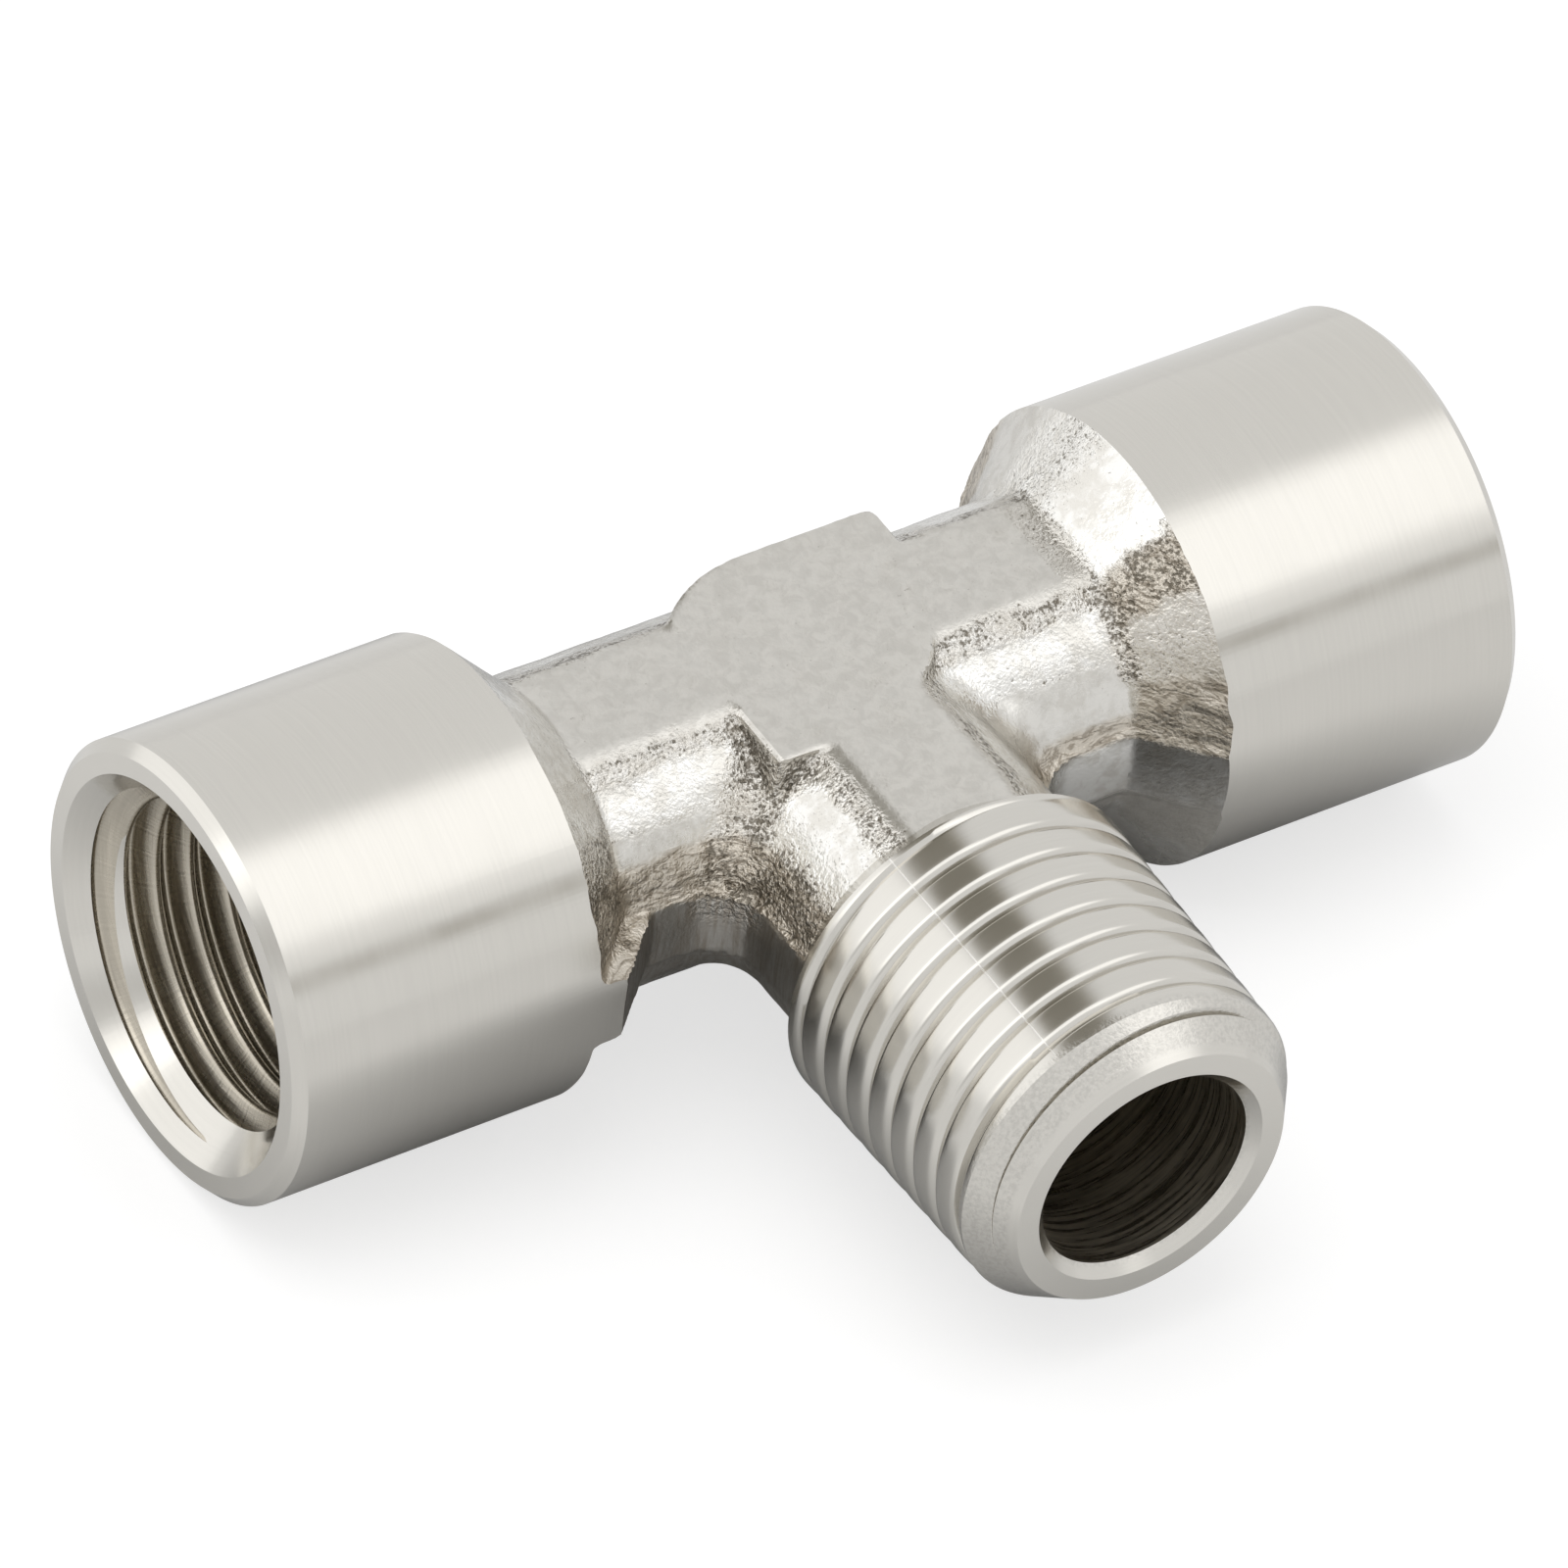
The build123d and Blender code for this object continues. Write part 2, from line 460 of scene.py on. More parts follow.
@dataclass(frozen=True)
class PipeThread:
    """Right-hand pipe thread of 55 degree form with rounded crests and roots."""

    pitch: float = 1.337
    depth: float = 0.856
    flank_angle: float = 27.5
    segments: int = 144
    rounding: float = 0.1836

    def section(self) -> Line:
        """Points of one pitch: place along the axis from a crest, and depth below the crest.

        The crest and the root are arcs of the rounding radius that the straight flanks touch.

        Returns:
            The points, from one crest up to the next one.
        """
        flank = math.radians(self.flank_angle)
        touch = self.rounding * math.cos(flank)
        drop = self.rounding * (1.0 - math.sin(flank))
        half = touch / 2.0
        half_drop = self.rounding - math.sqrt(self.rounding**2 - half**2)
        middle = self.pitch / 2.0
        rising = [(middle - touch, self.depth - drop), (middle - half, self.depth - half_drop)]
        falling = [(self.pitch - place, depth) for place, depth in reversed(rising)]
        return [
            (0.0, 0.0),
            (half, half_drop),
            (touch, drop),
            *rising,
            (middle, self.depth),
            *falling,
            (self.pitch - touch, drop),
            (self.pitch - half, half_drop),
        ]

    def rod(
        self,
        name: str,
        axis: Axis,
        span: tuple[float, float],
        crest_at: float,
        crest_radius: Callable[[np.ndarray], np.ndarray],
        depth_share: Callable[[np.ndarray], np.ndarray],
        tips: tuple[float, float],
        material: bpy.types.Material,
    ) -> bpy.types.Object:
        """Threaded rod: the section carried along a helix, so that crests follow mesh edges.

        A row of the grid keeps one place in the section and moves along the axis by the pitch
        over its turn. Rows past the span's ends are pressed onto the end circles, where the
        weld joins them, and each end closes on the axis.

        Args:
            name: Name of the object.
            axis: Centre-line.
            span: Lowest and highest place along the axis.
            crest_at: Place of a crest at the top.
            crest_radius: Function from the place along the axis to the crest's radius.
            depth_share: Function from the place along the axis to the share of full depth.
            tips: Places on the axis where the two ends close.
            material: Finish.

        Returns:
            The closed rod.
        """
        section = np.array(self.section())
        first = math.floor((span[0] - crest_at) / self.pitch) - 2
        last = math.ceil((span[1] - crest_at) / self.pitch) + 2
        starts = crest_at + self.pitch * np.arange(first, last)
        row_start = (starts[:, None] + section[None, :, 0]).ravel()
        turn = np.radians(np.linspace(-180.0, 180.0, self.segments + 1))
        climb = self.pitch * turn / (2.0 * np.pi)
        along = np.clip(row_start[:, None] + climb, *span)
        phase = np.mod(along - crest_at - climb, self.pitch)
        depth = np.interp(phase, section[:, 0], section[:, 1], period=self.pitch)
        radius = crest_radius(along) - depth * depth_share(along)
        ends = np.full((1, len(turn)), 1.0)
        along = np.concatenate([tips[0] * ends, along, tips[1] * ends])
        radius = np.concatenate([0.0 * ends, radius, 0.0 * ends])
        points = around(axis, along, radius, np.broadcast_to(turn, along.shape))
        return make_solid(name, points.reshape(-1, 3), grid_faces(*along.shape), material)


@dataclass(frozen=True)
class WornThread(PipeThread):
    """The same thread as the branch shows it: wide crowned lands and narrow grooves."""

    depth: float = 0.33
    groove: float = 0.27
    crown: float = 0.025
    edge: float = 0.1
    edge_drop: float = 0.06

    def section(self) -> Line:
        """Points of one pitch from the middle of a land.

        The land falls by the crown times the fourth power of the share of its half width. Its
        edge is broken by a small chamfer, and the flanks go down straight to a narrow flat root.

        Returns:
            The points, from the middle of one land up to the next one.
        """
        half = (self.pitch - self.groove) / 2.0
        flat = half - self.edge
        land = [(flat * share, self.crown * share**4) for share in (0.0, 0.5, 0.8, 1.0)]
        land.append((half, self.crown + self.edge_drop))
        fall = self.depth - self.crown - self.edge_drop
        land.append((half + fall * math.tan(math.radians(self.flank_angle)), self.depth))
        return land + [(self.pitch - place, depth) for place, depth in reversed(land[1:])]


# Finishes


# What a socket can be given: another node's output to join, a number, or a row of numbers
Feed = Union[bpy.types.NodeSocket, float, Sequence[float]]

# The two colours that a Mix node mixes, and its result: its sockets for colours have the same
# names as those for numbers, so they are found by number
MIX_FIRST = 6
MIX_SECOND = 7
MIX_RESULT = 2


class Nodes:
    """Short way to add and join the nodes of one material or world."""

    def __init__(self, tree: bpy.types.NodeTree) -> None:
        """Empties the tree."""
        self.tree = tree
        tree.nodes.clear()

    def add(
        self, kind: str, inputs: dict[str | int, Feed] | None = None, **settings: str
    ) -> bpy.types.Node:
        """Adds a node.

        Args:
            kind: Its type's name, without the leading ShaderNode.
            inputs: What its sockets get, by their name or number.
            settings: Its own settings, by name.

        Returns:
            The node.
        """
        node = self.tree.nodes.new("ShaderNode" + kind)
        for name, value in settings.items():
            setattr(node, name, value)
        for name, value in (inputs or {}).items():
            self.feed(node.inputs[name], value)
        return node

    def feed(self, socket: bpy.types.NodeSocket, value: Feed) -> None:
        """Joins another node's output to a socket, or sets the socket's own value.

        Args:
            socket: Socket that gets the value.
            value: Output to join, or value to set.
        """
        if isinstance(value, bpy.types.NodeSocket):
            self.tree.links.new(value, socket)
        else:
            socket.default_value = value

    def math(self, operation: str, *values: Feed) -> bpy.types.NodeSocket:
        """Arithmetic on sockets or numbers."""
        return self.add("Math", dict(enumerate(values)), operation=operation).outputs[0]

    def dot(self, first: Feed, second: Feed) -> bpy.types.NodeSocket:
        """Dot product of two vectors."""
        node = self.add("VectorMath", {0: first, 1: second}, operation="DOT_PRODUCT")
        return node.outputs["Value"]

    def spread(
        self, value: Feed, low: float, high: float, start: float, end: float
    ) -> bpy.types.NodeSocket:
        """Carries a value from one range to another, smoothly and within its ends.

        Args:
            value: Value to carry.
            low: Where its range begins.
            high: Where its range ends.
            start: Result where the value is low.
            end: Result where the value is high.

        Returns:
            The result.
        """
        node = self.add(
            "MapRange",
            {"Value": value, "From Min": low, "From Max": high, "To Min": start, "To Max": end},
            interpolation_type="SMOOTHSTEP",
        )
        return node.outputs["Result"]

    def blend(self, share: Feed, first: Feed, second: Feed) -> bpy.types.NodeSocket:
        """Mixes two colours.

        Args:
            share: 0 for the first colour and 1 for the second.
            first: First colour.
            second: Second colour.

        Returns:
            The mixed colour.
        """
        node = self.add("Mix", {"Factor": share}, data_type="RGBA")
        self.feed(node.inputs[MIX_FIRST], first)
        self.feed(node.inputs[MIX_SECOND], second)
        return node.outputs[MIX_RESULT]

    def object_place(
        self, scale: tuple[float, float, float] = (1.0, 1.0, 1.0)
    ) -> bpy.types.NodeSocket:
        """Object coordinates, scaled along each axis."""
        place = self.add("TexCoord").outputs["Object"]
        return self.add("Mapping", {"Vector": place, "Scale": scale}).outputs["Vector"]

    def noise(
        self,
        vector: Feed,
        size: float,
        detail: float = 2.0,
        roughness: float = 0.5,
        distortion: float = 0.0,
    ) -> bpy.types.NodeSocket:
        """Noise, from 0 to 1.

        Args:
            vector: Place at which it is read.
            size: Size of its largest features in millimetres.
            detail: How many finer layers are added.
            roughness: Share of each finer layer.
            distortion: How far it is pulled out of shape by itself.

        Returns:
            The noise.
        """
        inputs = {
            "Vector": vector,
            "Scale": 1.0 / (size * MM),
            "Detail": detail,
            "Roughness": roughness,
            "Distortion": distortion,
        }
        return self.add("TexNoise", inputs).outputs["Fac"]

    def ribs(self, count: float) -> bpy.types.NodeSocket:
        """Noise that changes only with the angle round the run.

        Args:
            count: How often it changes in a turn.

        Returns:
            The noise, from 0 to 1.
        """
        place = self.add("SeparateXYZ", {"Vector": self.add("TexCoord").outputs["Object"]})
        turn = self.math("ARCTAN2", place.outputs["Y"], place.outputs["Z"])
        inputs = {"W": turn, "Scale": count / (2.0 * math.pi), "Detail": 2.0}
        return self.add("TexNoise", inputs, noise_dimensions="1D").outputs["Fac"]

    def attribute(self, name: str) -> bpy.types.NodeSocket:
        """A value that the mesh carries at its points."""
        return self.add("Attribute", attribute_name=name).outputs["Fac"]

    def bump(
        self,
        height: Feed,
        distance: float,
        strength: Feed = 1.0,
        normal: bpy.types.NodeSocket | None = None,
    ) -> bpy.types.NodeSocket:
        """Normal tilted by a height.

        Args:
            height: The height, from 0 to 1.
            distance: Height in millimetres that 1 stands for.
            strength: Share of the tilt.
            normal: Normal to tilt, where it isn't the mesh's own.

        Returns:
            The tilted normal.
        """
        inputs = {"Height": height, "Distance": distance * MM, "Strength": strength}
        if normal is not None:
            inputs["Normal"] = normal
        return self.add("Bump", inputs).outputs["Normal"]


@dataclass(frozen=True)
class Nickel:
    """Nickel plating: the colour that every finish starts from."""

    colour: tuple[float, float, float] = (0.69, 0.67, 0.625)

    def rgba(self, share: float = 1.0) -> tuple[float, float, float, float]:
        """The colour, darkened to a share."""
        return (*(share * channel for channel in self.colour), 1.0)

    def start(self, name: str) -> tuple[bpy.types.Material, Nodes, bpy.types.Node]:
        """Starts a metal material.

        Args:
            name: Name of the material.

        Returns:
            The material, its node kit and its shader.
        """
        material = bpy.data.materials.new(name)
        material.use_nodes = True
        nodes = Nodes(material.node_tree)
        shader = nodes.add("BsdfPrincipled", {"Metallic": 1.0, "Base Color": self.rgba()})
        nodes.add("OutputMaterial", {"Surface": shader.outputs["BSDF"]})
        return material, nodes, shader


@dataclass(frozen=True)
class TurnedFinish(Nickel):
    """Fine turned and plated: satin, with faint rings of the tool round the axis.

    Sizes and heights of the marks are in millimetres.
    """

    mark_size: float = 0.09
    broad_mark_ratio: float = 9.0
    broad_mark_share: float = 0.6
    mark_height: float = 0.0005
    cloud_size: float = 2.5
    low_roughness: float = 0.16
    high_roughness: float = 0.21
    low_tone: float = 0.985
    high_tone: float = 1.01

    def make(self, name: str, across: tuple[float, float, float]) -> bpy.types.Material:
        """The material of rings at a right angle to one axis.

        Args:
            name: Name of the material.
            across: Share of each coordinate that the marks follow: 1 along the axis, near 0
                for the others.

        Returns:
            The material.
        """
        material, nodes, shader = self.start(name)
        rings = nodes.object_place(across)
        fine = nodes.noise(rings, self.mark_size, 3.0, 0.7)
        broad = nodes.noise(rings, self.mark_size * self.broad_mark_ratio, 2.0)
        cloud = nodes.noise(nodes.object_place(), self.cloud_size, 3.0)
        both = nodes.math("ADD", fine, nodes.math("MULTIPLY", broad, self.broad_mark_share))
        look = {
            "Roughness": nodes.spread(cloud, 0.3, 0.7, self.low_roughness, self.high_roughness),
            "Normal": nodes.bump(both, self.mark_height),
            "Base Color": nodes.blend(
                nodes.spread(fine, 0.3, 0.7, 0.0, 1.0),
                self.rgba(self.low_tone),
                self.rgba(self.high_tone),
            ),
        }
        for socket, value in self.wear(nodes, look).items():
            nodes.feed(shader.inputs[socket], value)
        return material

    def wear(self, nodes: Nodes, look: dict) -> dict:
        """What use has done to the surface: nothing on the sockets."""
        return look


@dataclass(frozen=True)
class WornBranchFinish(TurnedFinish):
    """The same on the branch, with a thin scratch along its lands and a rough bevel. The
    scratch is coloured near white, a painted glint.

    The scratch lies where the plane through the branch's axis at an angle from the top cuts
    the upper side. The bevel is rough and dull between two places along the branch.
    """

    mark_size: float = 0.08
    scratch_angle: float = -30.5
    scratch_width: float = 0.05
    scratch_share: float = 0.8
    scratch_roughness: float = 0.4
    # Painted glint: the scratch's near-white colour stands for the light that it catches
    scratch_glint_colour: tuple[float, float, float, float] = (0.95, 0.94, 0.9, 1.0)
    bevel_start: float = -22.7
    bevel_start_soft: float = 0.2
    bevel_end: float = -21.3
    bevel_end_soft: float = 0.4
    grit_size: float = 0.16
    grit_height: float = 0.018
    dull_share: float = 0.3
    dull_tone: float = 0.6

    def wear(self, nodes: Nodes, look: dict) -> dict:
        """Adds the scratch, with its painted glint, and the rough bevel.

        Args:
            nodes: Node kit of the material.
            look: What the shader's sockets get on the sound surface.

        Returns:
            What they get with the wear.
        """
        place = nodes.add("TexCoord").outputs["Object"]
        parts = nodes.add("SeparateXYZ", {"Vector": place}).outputs
        ends = [self.bevel_end * MM, (self.bevel_end + self.bevel_end_soft) * MM]
        start = nodes.spread(parts["Y"], *ends, 1.0, 0.0)
        ends = [self.bevel_start * MM, (self.bevel_start + self.bevel_start_soft) * MM]
        bevel = nodes.math("MULTIPLY", start, nodes.spread(parts["Y"], *ends, 0.0, 1.0))
        grit = nodes.noise(place, self.grit_size, 4.0, 0.65)
        normal = nodes.bump(grit, self.grit_height, bevel, look["Normal"])
        dull = nodes.math("MULTIPLY", bevel, nodes.spread(grit, 0.36, 0.6, self.dull_share, 0.0))
        colour = nodes.blend(dull, look["Base Color"], self.rgba(self.dull_tone))
        turn = math.radians(self.scratch_angle)
        aside = (math.cos(turn), 0.0, -math.sin(turn))
        away = nodes.math("ABSOLUTE", nodes.dot(place, aside))
        width = self.scratch_width * MM
        scratch_and_glint = nodes.spread(away, 0.3 * width, 0.7 * width, self.scratch_share, 0.0)
        upper = nodes.math("GREATER_THAN", parts["Z"], 0.0)
        scratch_and_glint = nodes.math("MULTIPLY", scratch_and_glint, nodes.math("SUBTRACT", upper, start))
        scratch_and_glint = nodes.math("MAXIMUM", scratch_and_glint, 0.0)
        roughness = nodes.math("MULTIPLY_ADD", scratch_and_glint, self.scratch_roughness, look["Roughness"])
        # Painted glint: the scratch is coloured near white
        colour = nodes.blend(scratch_and_glint, colour, self.scratch_glint_colour)
        return {"Roughness": roughness, "Normal": normal, "Base Color": colour}


@dataclass(frozen=True)
class ForgedFinish(Nickel):
    """Plating over a forged skin: matt flats, bright pitted sides and rough brown ledges. The
    bright sides' lighter colour is a painted highlight. The pits and the strip under the band
    are painted dark as shade, and the trimmed walls are dark partly from their own skin and
    partly as painted shade.

    Sizes and heights are in millimetres. Tones are shares of the plating's colour.
    """

    # Painted highlight: the bright sides' colour, lighter than the plating itself
    painted_highlight_colour: tuple[float, float, float, float] = (0.84, 0.83, 0.8, 1.0)
    ledge_colour: tuple[float, float, float, float] = (0.66, 0.59, 0.49, 1.0)
    scale_colour: tuple[float, float, float, float] = (0.3, 0.26, 0.21, 1.0)
    # Painted shade: the dark colour of the pits stands for the shade in them
    pit_shade_colour: tuple[float, float, float, float] = (0.16, 0.14, 0.11, 1.0)
    # Dark colour of the trimmed walls, partly the trimmed skin's own and partly painted shade
    wall_shade_colour: tuple[float, float, float, float] = (0.38, 0.34, 0.29, 1.0)
    cloud_size: float = 1.5
    lump_size: float = 0.5
    pit_size: float = 0.15
    vein_size: float = 0.36
    vein_width: float = 0.07
    stroke_size: float = 0.22
    relief_height: float = 0.13
    vein_height: float = 0.08
    matt_roughness: float = 0.34
    gloss_roughness: float = 0.17
    pit_roughness: float = 0.1
    matt_tones: tuple[float, float] = (0.9, 1.0)
    bright_tone: float = 1.02
    # Lighter strokes on the trimmed walls, also darkened as painted shade
    wall_shade_tone: float = 0.8

    def make(self, name: str) -> bpy.types.Material:
        """The material. It reads the mesh's values pitted, gloss_and_highlight, scale and
        trimmed_and_shade.

        Pits are the low places of a fine noise. The more pitted the skin, the higher the
        level below which the noise counts as a pit. Pits are rough, and painted dark as the shade
        in them. The brown scale lies in veins, where a noise drawn out along the parting plane is
        near its middle. The trimmed walls have upright strokes on a dark colour, partly their own
        and partly painted shade. Where gloss_and_highlight is high, the colour is lifted towards a
        painted highlight.

        Args:
            name: Name of the material.

        Returns:
            The material.
        """
        material, nodes, shader = self.start(name)
        place = nodes.object_place()
        pitted, gloss_and_highlight, scale, trimmed_and_shade = (
            nodes.attribute(value) for value in ("pitted", "gloss_and_highlight", "scale", "trimmed_and_shade")
        )
        wide = nodes.noise(place, self.cloud_size, 3.0, 0.6)
        coarse = nodes.noise(place, self.lump_size, 4.0, 0.6, 0.6)
        fine = nodes.noise(place, self.pit_size, 2.0, 0.55)
        drawn_out = nodes.object_place((0.3, 0.3, 1.0))
        flow = nodes.noise(drawn_out, self.vein_size, 3.0, 0.55, 0.8)
        density = nodes.math("MULTIPLY", pitted, nodes.spread(wide, 0.3, 0.65, 0.4, 1.2))
        level = nodes.math("MULTIPLY_ADD", density, 0.32, 0.2)
        pit = nodes.spread(nodes.math("SUBTRACT", fine, level), -0.13, 0.07, 1.0, 0.0)
        pit = nodes.math("MULTIPLY", pit, nodes.math("SUBTRACT", 1.0, trimmed_and_shade))
        relief = nodes.math("MULTIPLY_ADD", coarse, 0.6, fine)
        normal = nodes.bump(relief, self.relief_height, nodes.math("MINIMUM", pitted, 1.0))
        normal = nodes.bump(flow, self.vein_height, scale, normal)
        nodes.feed(shader.inputs["Normal"], normal)
        patch = nodes.math("MULTIPLY_ADD", nodes.math("SUBTRACT", wide, 0.5), 0.6, gloss_and_highlight)
        satin = nodes.spread(patch, 0.0, 1.0, self.matt_roughness, self.gloss_roughness)
        roughness = nodes.math("MULTIPLY_ADD", pit, self.pit_roughness, satin)
        nodes.feed(shader.inputs["Roughness"], roughness)
        mottle = nodes.spread(coarse, 0.35, 0.65, 0.0, 1.0)
        matt = nodes.blend(mottle, *(self.rgba(tone) for tone in self.matt_tones))
        cloud = nodes.spread(nodes.math("ADD", coarse, wide), 0.8, 1.15, 0.0, 1.0)
        # Painted highlight: on the bright sides the colour rises towards painted_highlight_colour
        bright = nodes.blend(cloud, self.rgba(self.bright_tone), self.painted_highlight_colour)
        plate = nodes.blend(gloss_and_highlight, matt, bright)
        plate = nodes.blend(nodes.math("MULTIPLY", scale, 0.7), plate, self.ledge_colour)
        vein = nodes.math("ABSOLUTE", nodes.math("SUBTRACT", flow, 0.5))
        vein = nodes.spread(vein, 0.0, self.vein_width, 1.0, 0.12)
        colour = nodes.blend(nodes.math("MULTIPLY", scale, vein), plate, self.scale_colour)
        # Painted shade: pits are coloured dark as the shade in them
        colour = nodes.blend(nodes.math("MULTIPLY", pit, 0.9), colour, self.pit_shade_colour)
        # Trimmed walls and the strip under the band: upright strokes between two dark tones, partly
        # their own colour and partly painted shade
        upright = nodes.object_place((1.0, 1.0, 0.1))
        strokes = nodes.noise(upright, self.stroke_size, 4.0, 0.7)
        strokes = nodes.spread(strokes, 0.3, 0.7, 0.0, 1.0)
        wall = nodes.blend(strokes, self.wall_shade_colour, self.rgba(self.wall_shade_tone))
        nodes.feed(shader.inputs["Base Color"], nodes.blend(trimmed_and_shade, colour, wall))
        return material


@dataclass(frozen=True)
class BoreFinish(Nickel):
    """Inside of the drilled and tapped holes: tool marks round the axis, warm and darker."""

    tint: tuple[float, float, float] = (1.0, 0.95, 0.86)
    mark_size: float = 0.16
    mark_height: float = 0.008
    chatter_marks: float = 300.0
    dark_share: float = 0.7

    def make(
        self,
        name: str,
        share: float,
        roughness: tuple[float, float],
        across: tuple[float, float, float],
        chatter: float = 0.0,
    ) -> bpy.types.Material:
        """The material.

        Args:
            name: Name of the material.
            share: Share of the plating's colour.
            roughness: Least and greatest roughness.
            across: Share of each coordinate that the marks follow.
            chatter: Height in millimetres of the ribs that the tap leaves across the thread.

        Returns:
            The material.
        """
        material, nodes, shader = self.start(name)
        rings = nodes.noise(nodes.object_place(across), self.mark_size, 4.0, 0.7)
        normal = nodes.bump(rings, self.mark_height)
        tone = nodes.spread(rings, 0.38, 0.62, 0.0, 1.0)
        if chatter > 0.0:
            ribs = nodes.ribs(self.chatter_marks)
            normal = nodes.bump(ribs, chatter, 1.0, normal)
            tone = nodes.math("MULTIPLY_ADD", ribs, 0.5, nodes.math("MULTIPLY", tone, 0.5))
        nodes.feed(shader.inputs["Normal"], normal)
        nodes.feed(shader.inputs["Roughness"], nodes.spread(tone, 0.0, 1.0, *roughness))
        warm = [share * channel * tint for channel, tint in zip(self.colour, self.tint)]
        dark = (*(self.dark_share * channel for channel in warm), 1.0)
        nodes.feed(shader.inputs["Base Color"], nodes.blend(tone, dark, (*warm, 1.0)))
        return material


@dataclass
class Finishes:
    """All finishes of the tee, made once."""

    turned: bpy.types.Material = field(init=False)
    branch: bpy.types.Material = field(init=False)
    forged: bpy.types.Material = field(init=False)
    tapped: bpy.types.Material = field(init=False)
    drilled: bpy.types.Material = field(init=False)

    def __post_init__(self) -> None:
        """Makes the materials."""
        self.turned = TurnedFinish().make("turned_nickel", (1.0, 0.02, 0.02))
        self.branch = WornBranchFinish().make("threaded_nickel", (0.02, 1.0, 0.02))
        self.forged = ForgedFinish().make("forged_nickel")
        self.tapped = BoreFinish().make("tapped_nickel", 0.9, (0.2, 0.3), (1.0, 0.03, 0.03), 0.006)
        self.drilled = BoreFinish().make("drilled_brass", 0.95, (0.26, 0.4), (0.04, 1.0, 0.04))


# The fitting's parts


